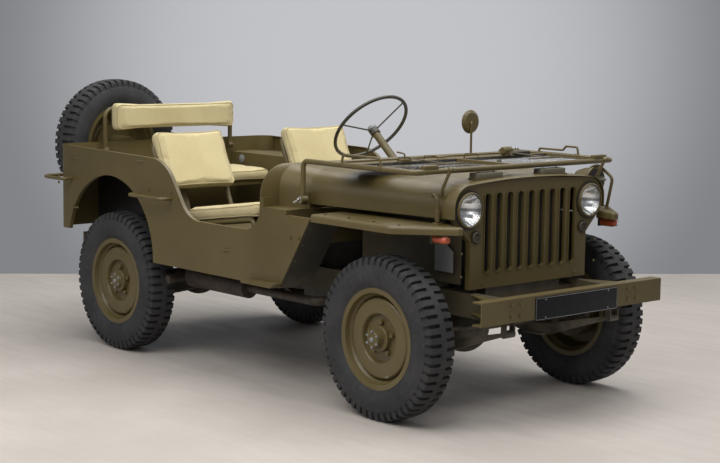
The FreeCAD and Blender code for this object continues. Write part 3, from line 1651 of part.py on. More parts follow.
def build_spare():
    x = behind(s.tub_back) - s.spare_reach
    y, z = -s.spare_offset, s.spare_height
    turn = Rotation(Vector(0, 1, 0), Vector(-1, 0, 0))
    node("spare_tyre", tyre(x, y, z, turn))
    node("spare_wheel", fuse(*wheel(x, y, z, 1, turn)))
    panel = behind(s.tub_back)
    post_end = x - s.bowl_face + s.seat_gap
    post = rod((post_end, y, z), s.carrier_radius, panel - 6 - post_end, "X")
    plate = block((panel - 6, panel), (y - 110, y + 110), (z - 130, s.tub_top - 4))
    stud = rod((post_end - 30, y, z), s.spindle_radius - 8, 35, "X")
    node("spare_carrier", fuse(post, plate, stud))


def build_rear_fittings():
    """Two short bumper plates and the tow hook, on the frame's rear end."""
    rail_end = behind(s.rail_back)
    middle = s.rail_bottom + s.rail_height / 2
    low, high = middle - s.bumperette_height / 2, middle + s.bumperette_height / 2
    face = rail_end - s.bumperette_face
    plate_front = face + s.bumperette_thick
    pieces = []
    for side in (1, -1):
        span = sorted((s.bumperette_near * side, s.bumperette_far * side), key=float)
        arm = sorted(((rail_outer - s.bumperette_arm) * side, rail_outer * side), key=float)
        pieces.append(
            fuse(
                block((face, plate_front), tuple(span), (low, high)),
                block((plate_front, rail_end), tuple(arm), (low + 8, high - 8)),
            )
        )
    tip = rail_end - s.hook_reach
    width = (-s.hook_half, s.hook_half)
    hook = fuse(
        block((rail_end - 8, rail_end), (-s.hook_half - 44, s.hook_half + 44), (middle - 34, middle + 34)),
        rod((rail_end - 60, 0, middle), s.hook_half + 2, 56, "X"),
        block((tip, tip + 50), width, (middle - 42, middle + 8)),
        block((tip, tip + 20), width, (middle + 8, middle + 38)),
    )
    node("rear_fittings", group(hook, *pieces))


def build_handles():
    x = behind(s.side_handle_front)
    z = s.side_handle_height
    bars = []
    for side in (1, -1):
        near, far = half_body * side, (half_body + s.handle_reach) * side
        start = x - s.side_handle_length
        bars.append(tube([(x, near, z), (x, far, z), (start, far, z), (start, near, z)], s.handle_tube, 30))
        z2 = s.corner_handle_height
        front = behind(s.corner_handle_front)
        tip = behind(s.tub_back) - s.handle_reach
        inner = (half_body - 250) * side
        bars.append(
            tube(
                [(front, near, z2), (front, far, z2), (tip, far, z2), (tip, inner, z2),
                 (behind(s.tub_back), inner, z2)],
                s.handle_tube, [30, 70, 30],
            )
        )
    node("grab_handles", group(*bars))


def build_mirror():
    x, y, z = behind(s.mirror_back), half_body - s.mirror_inset, s.mirror_height
    disc = turned(
        [(0, -12), (s.mirror_radius - 14, -12, 10), (s.mirror_radius, 0, 3), (s.mirror_radius, 4), (0, 4)],
        x, y, z, Rotation(Vector(0, 1, 0), Vector(-1, 0, 0)),
    )
    shoulder = half_body - s.cowl_shoulder
    arm_y = y - 10
    reach = float(arm_y) - float(shoulder) - 6
    foot = float(s.cowl_height) - float(s.cowl_shoulder)
    foot += math.sqrt(float(s.cowl_shoulder) ** 2 - reach ** 2) + float(s.seat_gap)
    arm_x = behind(s.cowl_back) + s.cowl_rim / 2
    arm = tube([(arm_x, arm_y, foot), (arm_x, arm_y, z), (x + 6, y - 2, z)], 6, 12)
    node("mirror", fuse(disc, arm))


# ---------------------------------------------------------------- build and write

build_frame()
build_front_bumper()
build_axles()
build_knuckles()
build_tie_rod()
build_springs()
build_wheels()
build_steering_column()
build_drive()
build_tub()
build_cowl()
build_hood()
build_grille()
build_lamps()
build_fenders()
build_windshield()
build_front_seats()
build_rear_seat()
build_spare()
build_rear_fittings()
build_handles()
build_mirror()

doc.recompute()
for obj in doc.Objects:
    for state in obj.State:
        if state in ("Invalid", "Error"):
            raise RuntimeError("%s (%s) is %s" % (obj.Name, obj.Label, state))
os.makedirs("parts", exist_ok=True)
for name, obj in NODES:
    shape = obj.Shape
    if shape.isNull() or not shape.isValid() or not shape.Solids:
        raise RuntimeError("sub-part %s has no valid solid" % name)
for name, obj in NODES:
    obj.Shape.exportStep("parts/%s.step" % name)
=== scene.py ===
"""The looks of an open quarter-ton 4x4 car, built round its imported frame, in metres.

The frame gives the CAD nodes, joints and sizes; X points ahead, Y to the left and Z up."""

import json
import math

import bmesh
import bpy
from mathutils import Matrix, Vector, noise
from mathutils.bvhtree import BVHTree


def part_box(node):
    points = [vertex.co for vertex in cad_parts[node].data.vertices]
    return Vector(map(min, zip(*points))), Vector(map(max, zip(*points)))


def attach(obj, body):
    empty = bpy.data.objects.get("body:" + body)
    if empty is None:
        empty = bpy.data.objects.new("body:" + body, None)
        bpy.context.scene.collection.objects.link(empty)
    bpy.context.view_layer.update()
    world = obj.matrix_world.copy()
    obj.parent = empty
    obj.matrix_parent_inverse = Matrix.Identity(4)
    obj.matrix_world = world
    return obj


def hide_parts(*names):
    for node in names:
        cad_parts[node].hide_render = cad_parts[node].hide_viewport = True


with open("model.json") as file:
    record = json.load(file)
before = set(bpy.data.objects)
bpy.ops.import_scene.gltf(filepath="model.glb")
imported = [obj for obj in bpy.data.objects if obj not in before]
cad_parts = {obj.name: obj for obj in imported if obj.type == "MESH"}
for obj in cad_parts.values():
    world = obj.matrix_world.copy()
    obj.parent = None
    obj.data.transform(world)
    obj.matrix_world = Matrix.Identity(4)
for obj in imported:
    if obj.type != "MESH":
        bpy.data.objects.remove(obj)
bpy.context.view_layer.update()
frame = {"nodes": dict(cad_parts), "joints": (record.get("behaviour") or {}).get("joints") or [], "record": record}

X, Y, Z = Vector((1, 0, 0)), Vector((0, 1, 0)), Vector((0, 0, 1))
SIDES = (1, -1)    # left and right of the car
SLOTS = {part["node"]: part["material_slot"] for part in frame["record"]["subparts"]}


def add_object(name, data):
    obj = bpy.data.objects.new(name, data)
    bpy.context.scene.collection.objects.link(obj)
    return obj


class NodeTree:
    """Adds nodes to a shader tree and links them."""

    def __init__(self, tree):
        self.tree = tree

    def node(self, kind, **values):
        made = self.tree.nodes.new(kind)
        for key, value in values.items():
            setattr(made, key, value)
        return made

    def link(self, a, b):
        self.tree.links.new(a, b)

    def feed(self, value, socket):
        """Give a socket a number, a colour tuple or another node's output."""
        if isinstance(value, tuple):
            socket.default_value = (*value, 1.0)
        elif isinstance(value, (int, float)):
            socket.default_value = value
        else:
            self.link(value, socket)

    def spread(self, value, low, high, out_low=0.0, out_high=1.0):
        made = self.node("ShaderNodeMapRange", interpolation_type="SMOOTHSTEP")
        self.link(value, made.inputs["Value"])
        for key, number in (("From Min", low), ("From Max", high), ("To Min", out_low), ("To Max", out_high)):
            made.inputs[key].default_value = number
        return made.outputs["Result"]

    def blend(self, factor, a, b):
        """Mix two colours, each a tuple or a node's output."""
        made = self.node("ShaderNodeMix", data_type="RGBA")
        self.link(factor, made.inputs["Factor"])
        self.feed(a, made.inputs["A"])
        self.feed(b, made.inputs["B"])
        return made.outputs["Result"]

    def math(self, kind, a, b, clamp=False):
        made = self.node("ShaderNodeMath", operation=kind, use_clamp=clamp)
        self.feed(a, made.inputs[0])
        self.feed(b, made.inputs[1])
        return made.outputs[0]


# ---------------------------------------------------------------- camera, light and floor

WALL_SIDE, WALL_MIDDLE = (0.222, 0.227, 0.240), (0.54, 0.545, 0.57)
SOFT_LIGHT, SOFT_STRENGTH = (0.90, 0.93, 1.0), 0.20

def camera_at(place, yaw, pitch, roll, lens):
    """A camera that looks along a yaw and pitch, turned about its own axis by a roll."""
    yaw, pitch, roll = (math.radians(angle) for angle in (yaw, pitch, roll))
    forward = Vector((math.cos(yaw) * math.cos(pitch), math.sin(yaw) * math.cos(pitch), math.sin(pitch)))
    side = forward.cross(Z).normalized()
    above = side.cross(forward)
    right = side * math.cos(roll) + above * math.sin(roll)
    up = above * math.cos(roll) - side * math.sin(roll)
    data = bpy.data.cameras.new("camera")
    data.lens, data.sensor_width = lens, 36.0
    camera = add_object("camera", data)
    turn = Matrix((right, up, -forward)).transposed().to_4x4()
    camera.matrix_world = Matrix.Translation(place) @ turn
    bpy.context.scene.camera = camera


def area_light(name, place, target, size, power, colour):
    data = bpy.data.lights.new(name, "AREA")
    data.shape, data.size, data.size_y = "RECTANGLE", size[0], size[1]
    data.energy, data.color = power, colour
    lamp = add_object(name, data)
    lamp.location = place
    lamp.rotation_euler = (Vector(target) - Vector(place)).to_track_quat("-Z", "Y").to_euler()


def build_world(facing):
    """Soft light all round; what shows of it is a grey wall with a lighter middle."""
    world = bpy.data.worlds.new("studio")
    bpy.context.scene.world = world
    world.use_nodes = True
    world.node_tree.nodes.clear()
    studio = NodeTree(world.node_tree)
    yaw = math.radians(facing)
    along = studio.node("ShaderNodeVectorMath", operation="DOT_PRODUCT")
    along.inputs[1].default_value = (math.cos(yaw), math.sin(yaw), -0.02)
    studio.link(studio.node("ShaderNodeTexCoord").outputs["Generated"], along.inputs[0])
    wall = studio.blend(studio.spread(along.outputs["Value"], 0.974, 1.0), WALL_SIDE, WALL_MIDDLE)
    path = studio.node("ShaderNodeLightPath").outputs
    seen = studio.math("ADD", path["Is Camera Ray"], path["Is Transmission Ray"], clamp=True)
    seen = studio.math("ADD", seen, path["Is Glossy Ray"], clamp=True)
    mix = studio.node("ShaderNodeMixShader")
    studio.link(seen, mix.inputs["Fac"])
    for number, colour, strength in ((1, SOFT_LIGHT, SOFT_STRENGTH), (2, wall, 1.0)):
        shade = studio.node("ShaderNodeBackground")
        studio.feed(colour, shade.inputs["Color"])
        studio.feed(strength, shade.inputs["Strength"])
        studio.link(shade.outputs[0], mix.inputs[number])
    studio.link(mix.outputs[0], studio.node("ShaderNodeOutputWorld").inputs["Surface"])


def build_floor(camera, facing, reach):
    """A square floor turned to the view, with its far edge a set way from the camera."""
    yaw = math.radians(facing)
    forward = Vector((math.cos(yaw), math.sin(yaw), 0)) * reach
    side = Vector((math.sin(yaw), -math.cos(yaw), 0)) * reach
    below = Vector((camera.x, camera.y, 0))
    near, far = below - forward, below + forward
    mesh = bpy.data.meshes.new("floor")
    mesh.from_pydata([near + side, far + side, far - side, near - side], [], [(0, 1, 2, 3)])
    floor = add_object("floor", mesh)
    mesh.materials.append(floor_material())


def build_stage():
    camera, facing = Vector((6.296, -5.374, 1.700)), 138.39
    camera_at(camera, facing, pitch=-7.12, roll=0.81, lens=82.15)
    bpy.context.scene.view_settings.view_transform = "Standard"
    build_world(facing - 0.2)
    # name, place, target, size, power in watts, colour
    lights = (
        ("overhead", (0.2, 0.6, 4.4), (0, 0, 0.6), (6.5, 4.4), 290, (1.0, 0.985, 0.955)),
        ("near_soft", (1.4, -3.6, 4.0), (0.9, -1.3, 0), (4.2, 2.4), 150, (1.0, 0.975, 0.94)),
        ("front_soft", (6.0, -3.4, 3.2), (0.4, 0, 0.6), (3.5, 2.2), 30, (1.0, 0.98, 0.95)),
        ("side_soft", (-2.6, -6.0, 3.0), (0, 0, 0.7), (4.0, 2.0), 26, (1.0, 0.985, 0.96)),
        ("far_soft", (1.5, 6.0, 3.4), (0, 0, 0.8), (5.0, 2.0), 60, (0.98, 0.985, 1.0)),
    )
    for light in lights:
        area_light(*light)
    build_floor(camera, facing + 5.3, reach=11.2)


# ---------------------------------------------------------------- materials

ROAD_DUST = (0.30, 0.25, 0.18)

class Surface(NodeTree):
    """A node material with the object's own coordinates for its patterns."""

    def __init__(self, name):
        self.material = bpy.data.materials.new(name)
        self.material.use_nodes = True
        super().__init__(self.material.node_tree)
        self.shader = self.tree.nodes["Principled BSDF"]
        self.place = self.node("ShaderNodeTexCoord").outputs["Object"]

    def set(self, **values):
        for key, value in values.items():
            self.shader.inputs[key.replace("_", " ")].default_value = value

    def noise(self, scale, detail=4.0, rough=0.55, stretch=None):
        made = self.node("ShaderNodeTexNoise")
        for key, number in (("Scale", scale), ("Detail", detail), ("Roughness", rough)):
            made.inputs[key].default_value = number
        place = self.place
        if stretch:
            mapping = self.node("ShaderNodeMapping")
            mapping.inputs["Scale"].default_value = stretch
            self.link(self.place, mapping.inputs["Vector"])
            place = mapping.outputs["Vector"]
        self.link(place, made.inputs["Vector"])
        return made.outputs["Fac"]

    def bands(self, scale, direction, **settings):
        wave = self.node("ShaderNodeTexWave", wave_type="BANDS", bands_direction=direction)
        wave.inputs["Scale"].default_value = scale
        for key, number in settings.items():
            wave.inputs[key.replace("_", " ")].default_value = number
        self.link(self.place, wave.inputs["Vector"])
        return wave.outputs["Fac"]

    def mottle(self, base, shade, scale, detail, rough=0.55):
        """Slow patches of two colours."""
        return self.blend(self.spread(self.noise(scale, detail, rough), 0.3, 0.7), base, shade)

    def colour(self, value):
        self.link(value, self.shader.inputs["Base Color"])

    def rough(self, value, low, high):
        self.link(self.spread(value, 0.25, 0.75, low, high), self.shader.inputs["Roughness"])

    def bump(self, *layers):
        """Layers of (height socket, depth in metres, strength)."""
        normal = None
        for height, depth, strength in layers:
            made = self.node("ShaderNodeBump")
            made.inputs["Strength"].default_value = strength
            made.inputs["Distance"].default_value = depth
            self.link(height, made.inputs["Height"])
            if normal is not None:
                self.link(normal, made.inputs["Normal"])
            normal = made.outputs["Normal"]
        self.link(normal, self.shader.inputs["Normal"])

    def shade_facing(self):
        """1 on faces that look outward from the car's middle plane or down: where the painted shade goes."""
        facing, spot = self.node("ShaderNodeSeparateXYZ"), self.node("ShaderNodeSeparateXYZ")
        self.link(self.node("ShaderNodeTexCoord").outputs["Normal"], facing.inputs[0])
        self.link(self.place, spot.inputs[0])
        outward = self.spread(self.math("MULTIPLY", facing.outputs["Y"], spot.outputs["Y"]), 0.02, 0.20)
        return self.math("MAXIMUM", outward, self.spread(facing.outputs["Z"], -0.7, -0.3, 1.0, 0.0))

    def low_dust(self, low, high, amount):
        """More towards the ground, broken up by noise."""
        split = self.node("ShaderNodeSeparateXYZ")
        self.link(self.place, split.inputs[0])
        height = self.spread(split.outputs["Z"], low, high, amount, 0.0)
        return self.math("MULTIPLY", height, self.spread(self.noise(9.0, 6.0), 0.3, 0.7))


def scaled(colour, factor):
    return tuple(c * factor for c in colour)


def floor_material():
    surface = Surface("pale_floor")
    streak = surface.noise(2.2, 6.0, stretch=(1.0, 5.0, 1.0))
    base = surface.mottle((0.45, 0.412, 0.378), (0.54, 0.50, 0.462), 0.9, 5.0)
    surface.colour(surface.blend(surface.spread(streak, 0.35, 0.75, 0.0, 0.35), base, (0.37, 0.335, 0.305)))
    surface.rough(streak, 0.42, 0.6)
    return surface.material


def paint(name, base, shade, dusty=0.25, rough=(0.42, 0.58), painted_shade_colour=None, gloss=0.5):
    """Matt vehicle enamel: a slow change of shade, orange peel, fine scuffs and road dust.

    The optional colour after the roughness is painted shade for the faces that look away from the car's middle or
    down."""
    surface = Surface(name)
    tone = surface.mottle(base, shade, 2.3, 5.0)
    worn = tuple(c * 1.5 + 0.01 for c in base)
    scuff = surface.spread(surface.noise(34.0, 9.0, 0.72), 0.62, 0.74, 0.0, 0.35)
    tone = surface.blend(scuff, tone, worn)
    tone = surface.blend(surface.low_dust(0.15, 0.75, dusty), tone, ROAD_DUST)
    # painted shade on the faces that look outward or down
    if painted_shade_colour:
        tone = surface.blend(surface.shade_facing(), tone, painted_shade_colour)
    surface.colour(tone)
    surface.set(Specular_IOR_Level=gloss)
    surface.rough(surface.noise(14.0, 6.0), *rough)
    surface.bump((surface.noise(420.0, 3.0), 0.0004, 0.22), (surface.noise(5.0, 3.0), 0.004, 0.12))
    return surface.material


def tyre_rubber():
    surface = Surface("tyre_rubber")
    tone = surface.mottle((0.022, 0.023, 0.025), (0.038, 0.038, 0.040), 6.0, 6.0)
    chalk = surface.spread(surface.noise(28.0, 8.0, 0.7), 0.54, 0.76, 0.0, 0.4)
    surface.colour(surface.blend(chalk, tone, (0.095, 0.087, 0.077)))
    surface.set(Specular_IOR_Level=0.35)
    surface.rough(surface.noise(40.0, 5.0), 0.62, 0.85)
    surface.bump((surface.noise(300.0, 4.0), 0.0006, 0.35), (surface.noise(60.0, 3.0), 0.0012, 0.2))
    return surface.material


def canvas(name, base, shade):
    """Heavy cotton duck: crossed threads, soft stains and a dry sheen."""
    surface = Surface(name)
    threads = [surface.bands(260.0, direction, Distortion=1.2, Detail=1.0, Detail_Scale=2.0)
               for direction in "XYZ"]
    weave = surface.math("MAXIMUM", surface.math("MULTIPLY", threads[0], threads[1]), threads[2])
    stain = surface.spread(surface.noise(4.5, 6.0), 0.32, 0.72)
    tone = surface.blend(stain, base, shade)
    fleck = surface.spread(surface.noise(700.0, 2.0), 0.35, 0.75, 0.0, 0.22)
    tone = surface.blend(fleck, tone, scaled(shade, 0.62))
    tone = surface.blend(surface.spread(weave, 0.1, 0.9, 0.16, 0.0), tone, scaled(base, 0.55))
    surface.colour(tone)
    surface.rough(surface.noise(60.0, 4.0), 0.78, 0.92)
    surface.set(Sheen_Weight=0.12, Sheen_Roughness=0.5)
    surface.bump((surface.noise(26.0, 5.0, 0.6), 0.0035, 0.32), (weave, 0.0006, 0.4))
    return surface.material


def cast(name, base, shade, metallic=0.3, rough=(0.5, 0.75)):
    surface = Surface(name)
    surface.colour(surface.mottle(base, shade, 11.0, 7.0, 0.65))
    surface.set(Metallic=metallic)
    surface.rough(surface.noise(30.0, 5.0), *rough)
    surface.bump((surface.noise(240.0, 4.0), 0.0008, 0.35))
    return surface.material


def bright_metal(name, base, rough):
    surface = Surface(name)
    surface.colour(surface.mottle(base, scaled(base, 0.86), 50.0, 5.0))
    surface.set(Metallic=1.0)
    surface.rough(surface.noise(80.0, 4.0), *rough)
    return surface.material


def clear_glass(name, tint, rough, ripples=None, alpha=1.0):
    surface = Surface(name)
    surface.colour(surface.mottle(tint, scaled(tint, 0.96), 3.0, 4.0))
    surface.set(Transmission_Weight=1.0, Roughness=rough, IOR=1.45, Alpha=alpha)
    if ripples:
        surface.bump((surface.bands(ripples, "Y"), 0.001, 0.5))
    return surface.material


def plastic(name, base, rough=(0.25, 0.4)):
    surface = Surface(name)
    surface.colour(surface.mottle(base, scaled(base, 0.8), 18.0, 5.0))
    surface.rough(surface.noise(50.0, 4.0), *rough)
    surface.bump((surface.noise(260.0, 3.0), 0.0003, 0.2))
    return surface.material


def plank(name, base, shade):
    surface = Surface(name)
    grain = surface.noise(30.0, 8.0, 0.6, stretch=(6.0, 1.0, 6.0))
    surface.colour(surface.blend(surface.spread(grain, 0.3, 0.7), base, shade))
    surface.rough(grain, 0.6, 0.8)
    surface.bump((grain, 0.001, 0.4))
    return surface.material


BODY_OLIVE, BODY_OLIVE_SHADE = (0.086, 0.065, 0.022), (0.106, 0.081, 0.029)
OLIVE = paint("olive_paint", BODY_OLIVE, BODY_OLIVE_SHADE, dusty=0.05, rough=(0.34, 0.46), gloss=0.45)
# wheel houses and floor pan: near-black painted shade on the faces that look outward or down
ARCH_SHADED_PAINT = paint("olive_arches_painted_shade", BODY_OLIVE, BODY_OLIVE_SHADE, dusty=0.05, rough=(0.45, 0.6),
                   painted_shade_colour=(0.006, 0.0055, 0.004))
# dark olive for the chassis frame, fuel tank and small fittings; on the fender aprons and the slit strip it is
# painted shade
OLIVE_DARK = paint("olive_chassis_and_apron_shade", (0.046, 0.038, 0.019), (0.062, 0.051, 0.026), dusty=0.2,
                   rough=(0.55, 0.7))
# near black: the chassis paint, also painted shade on the fender struts behind the front wheels
CHASSIS_AND_STRUT_SHADE = paint("chassis_paint", (0.030, 0.028, 0.021), (0.045, 0.040, 0.028), dusty=0.4, rough=(0.55, 0.72))
BLACK = paint("plate_black", (0.010, 0.011, 0.014), (0.016, 0.017, 0.020), dusty=0.02, rough=(0.42, 0.55),
              gloss=0.15)
RUBBER = tyre_rubber()
# black rubber for seals, knobs and boots, and painted shade in the rings round the lamps
SEAL_AND_RING_SHADE = plastic("seal_rubber_and_ring_shade", (0.018, 0.018, 0.018), (0.6, 0.75))
CANVAS = canvas("seat_canvas", (0.57, 0.49, 0.275), (0.50, 0.42, 0.225))
PIPING = canvas("canvas_seam", (0.47, 0.40, 0.22), (0.41, 0.34, 0.18))
IRON = cast("engine_iron", (0.10, 0.105, 0.095), (0.065, 0.066, 0.060))
EXHAUST = cast("exhaust_steel", (0.10, 0.080, 0.062), (0.055, 0.045, 0.038), metallic=0.55)
STEEL = bright_metal("bare_steel", (0.52, 0.50, 0.46), (0.28, 0.45))
CHROME = bright_metal("bright_chrome", (0.88, 0.89, 0.90), (0.05, 0.12))
GLASS = clear_glass("window_glass", (0.96, 0.98, 0.97), 0.03, alpha=0.3)
LENS = clear_glass("lamp_lens", (0.97, 0.98, 0.98), 0.04, ripples=38.0)
AMBER = plastic("amber_lens", (0.50, 0.10, 0.045), (0.12, 0.25))
RED = plastic("red_lens", (0.36, 0.02, 0.02), (0.12, 0.25))
DARK_LENS = plastic("dark_lens", (0.045, 0.04, 0.036), (0.15, 0.3))
WHEEL_RIM = paint("rim_dark_olive", (0.030, 0.029, 0.021), (0.042, 0.040, 0.029), dusty=0.0,
                  rough=(0.3, 0.45))
GREY_STEEL = paint("hub_grey", (0.16, 0.175, 0.175), (0.21, 0.22, 0.215), dusty=0.1, rough=(0.35, 0.5))
DIAL = plastic("dial_black", (0.012, 0.012, 0.013), (0.2, 0.35))
BRASS = bright_metal("brass", (0.58, 0.42, 0.20), (0.25, 0.4))
TIMBER = plank("timber", (0.105, 0.094, 0.062), (0.150, 0.135, 0.095))

SLOT_MATERIALS = {
    "olive_paint": OLIVE, "chassis_paint": CHASSIS_AND_STRUT_SHADE, "plate_black": BLACK, "tyre_rubber": RUBBER,
    "canvas": CANVAS, "window_glass": GLASS, "lamp_glass": CHROME, "engine_iron": IRON,
    "exhaust_steel": EXHAUST,
}
NODE_MATERIALS = {
    "chassis_frame": OLIVE_DARK, "fuel_tank": OLIVE_DARK, "steering_wheel": BLACK,
    "wheel_houses": ARCH_SHADED_PAINT, "floor_pan": ARCH_SHADED_PAINT,
}


def dress_nodes():
    for name, obj in frame["nodes"].items():
        material = NODE_MATERIALS.get(name, SLOT_MATERIALS[SLOTS[name]])
        obj.data.materials.clear()
        obj.data.materials.append(material)


# ---------------------------------------------------------------- mesh building

def disc(radius, low, high):
    """The profile of a plain cylinder."""
    return [(0, low), (radius, low), (radius, high), (0, high)]


def ring(inner, outer, low, high):
    """The closed profile of a square ring."""
    return [(inner, low), (outer, low), (outer, high), (inner, high), (inner, low)]

class Shape:
    """Gathers solids into one mesh, then makes it a piece of the part."""

    def __init__(self):
        self.bm = bmesh.new()

    def take(self, made, matrix=None):
        if matrix is not None:
            made.transform(matrix)
        mesh = bpy.data.meshes.new("part")
        made.to_mesh(mesh)
        made.free()
        self.bm.from_mesh(mesh)
        bpy.data.meshes.remove(mesh)
        return self

    def block(self, low, high, bevel=0.0015, matrix=None):
        made = bmesh.new()
        bmesh.ops.create_cube(made, size=1.0)
        low, high = Vector(low), Vector(high)
        size = high - low
        made.transform(Matrix.Translation((low + high) / 2) @ Matrix.Diagonal((*size, 1.0)))
        if bevel:
            bmesh.ops.bevel(made, geom=made.edges[:], offset=min(bevel, min(size) * 0.45),
                            segments=2, profile=0.6, affect="EDGES")
        return self.take(made, matrix)

    def lathe(self, profile, origin, axis, steps=32, matrix=None):
        """Turn (radius, along) points about an axis through an origin."""
        made = bmesh.new()
        rings = []
        for radius, along in profile:
            if radius < 1e-6:
                rings.append([made.verts.new((0, 0, along))])
                continue
            rings.append([
                made.verts.new((radius * math.cos(2 * math.pi * i / steps),
                                radius * math.sin(2 * math.pi * i / steps), along))
                for i in range(steps)
            ])
        for first, second in zip(rings, rings[1:]):
            for i in range(steps):
                j = (i + 1) % steps
                corners = [first[i % len(first)], first[j % len(first)],
                           second[j % len(second)], second[i % len(second)]]
                unique = list(dict.fromkeys(corners))
                if len(unique) > 2:
                    made.faces.new(unique)
        turn = Z.rotation_difference(Vector(axis)).to_matrix().to_4x4()
        made.transform(Matrix.Translation(Vector(origin)) @ turn)
        bmesh.ops.recalc_face_normals(made, faces=made.faces[:])
        return self.take(made, matrix)

    def rod(self, start, end, radius, steps=16, chamfer=0.0008):
        start, end = Vector(start), Vector(end)
        length = (end - start).length
        c = min(chamfer, radius * 0.4, length * 0.4)
        profile = [(0, 0), (radius - c, 0), (radius, c), (radius, length - c), (radius - c, length),
                   (0, length)]
        return self.lathe(profile, start, end - start, steps)

    def hexagon(self, centre, axis, across, height):
        """A bolt head or nut with a washer under it."""
        centre, axis = Vector(centre), Vector(axis).normalized()
        self.lathe(disc(across * 0.72, 0, height * 0.22), centre, axis, 14)
        corner = across * 0.577
        profile = [(0, 0), (corner, 0), (corner, height * 0.85), (across * 0.45, height), (0, height)]
        return self.lathe(profile, centre + axis * height * 0.2, axis, 6)

    def dome(self, centre, axis, radius, height):
        steps = 4
        profile = [(radius * math.cos(t * math.pi / 2 / steps), height * math.sin(t * math.pi / 2 / steps))
                   for t in range(steps)] + [(0, height)]
        return self.lathe([(0, -height * 0.2), (radius, -height * 0.2)] + profile, centre, axis, 12)

    def sweep(self, points, radius, steps=10, closed=False, flat=1.0, flat_axis=Z):
        """A round or flattened bar along points."""
        made = bmesh.new()
        points = [Vector(p) for p in points]
        count = len(points)
        rings = []
        up = None
        for i, point in enumerate(points):
            if closed:
                along = (points[(i + 1) % count] - points[i - 1]).normalized()
            else:
                along = (points[min(i + 1, count - 1)] - points[max(i - 1, 0)]).normalized()
            if up is None:
                reference = flat_axis if abs(along.dot(flat_axis)) < 0.95 else X
                up = (reference - along * reference.dot(along)).normalized()
            else:
                up = (up - along * up.dot(along)).normalized()
            side = along.cross(up)
            rings.append([
                made.verts.new(point + side * radius * math.cos(2 * math.pi * k / steps)
                               + up * radius * flat * math.sin(2 * math.pi * k / steps))
                for k in range(steps)
            ])
        pairs = list(zip(rings, rings[1:])) + ([(rings[-1], rings[0])] if closed else [])
        for first, second in pairs:
            for k in range(steps):
                made.faces.new((first[k], first[(k + 1) % steps], second[(k + 1) % steps], second[k]))
        if not closed:
            made.faces.new(rings[0][::-1])
            made.faces.new(rings[-1])
        bmesh.ops.recalc_face_normals(made, faces=made.faces[:])
        return self.take(made)

    def strip(self, outline, low, high, axis="Y", bevel=0.001):
        """A plate with an outline in the plane across an axis."""
        made = bmesh.new()
        slot = "XYZ".index(axis)
        near, far = ([made.verts.new((*point[:slot], level, *point[slot:])) for point in outline]
                     for level in (low, high))
        made.faces.new(near)
        made.faces.new(far[::-1])
        for i in range(len(outline)):
            j = (i + 1) % len(outline)
            made.faces.new((near[j], near[i], far[i], far[j]))
        bmesh.ops.recalc_face_normals(made, faces=made.faces[:])
        if bevel:
            bmesh.ops.bevel(made, geom=made.edges[:], offset=bevel, segments=2, profile=0.6, affect="EDGES")
        return self.take(made)

    def mirror(self):
        """Add the same solids on the other side of the car."""
        made = self.bm.copy()
        made.transform(Matrix.Diagonal((1, -1, 1, 1)))
        bmesh.ops.reverse_faces(made, faces=made.faces[:])
        return self.take(made)

    def piece(self, name, material, body="car_body", slot="olive_paint", replaces=(), sharp=35):
        mesh = bpy.data.meshes.new(name)
        self.bm.to_mesh(mesh)
        self.bm.free()
        obj = add_object(name, mesh)
        mesh.materials.append(material)
        mesh.shade_smooth()
        mesh.set_sharp_from_angle(angle=math.radians(sharp))
        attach(obj, body)
        if replaces:
            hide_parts(*replaces)
        return obj


def rounded(points, radius, steps=5):
    """A route with its corners rounded."""
    points = [Vector(p) for p in points]
    route = [points[0]]
    for before, corner, after in zip(points, points[1:], points[2:]):
        a, b = (before - corner), (after - corner)
        half = a.angle(b) / 2
        reach = min(radius / math.tan(half), a.length * 0.48, b.length * 0.48)
        first, last = corner + a.normalized() * reach, corner + b.normalized() * reach
        for t in range(steps + 1):
            k = t / steps
            route.append(first * (1 - k) ** 2 + corner * 2 * k * (1 - k) + last * k ** 2)
    return route + [points[-1]]


# ---------------------------------------------------------------- tyres

TYRE_BODIES = {
    "tyre_front_left": "front_left_wheel", "tyre_front_right": "front_right_wheel",
    "tyre_rear_left": "rear_left_wheel", "tyre_rear_right": "rear_right_wheel",
    "spare_tyre": "car_body",
}


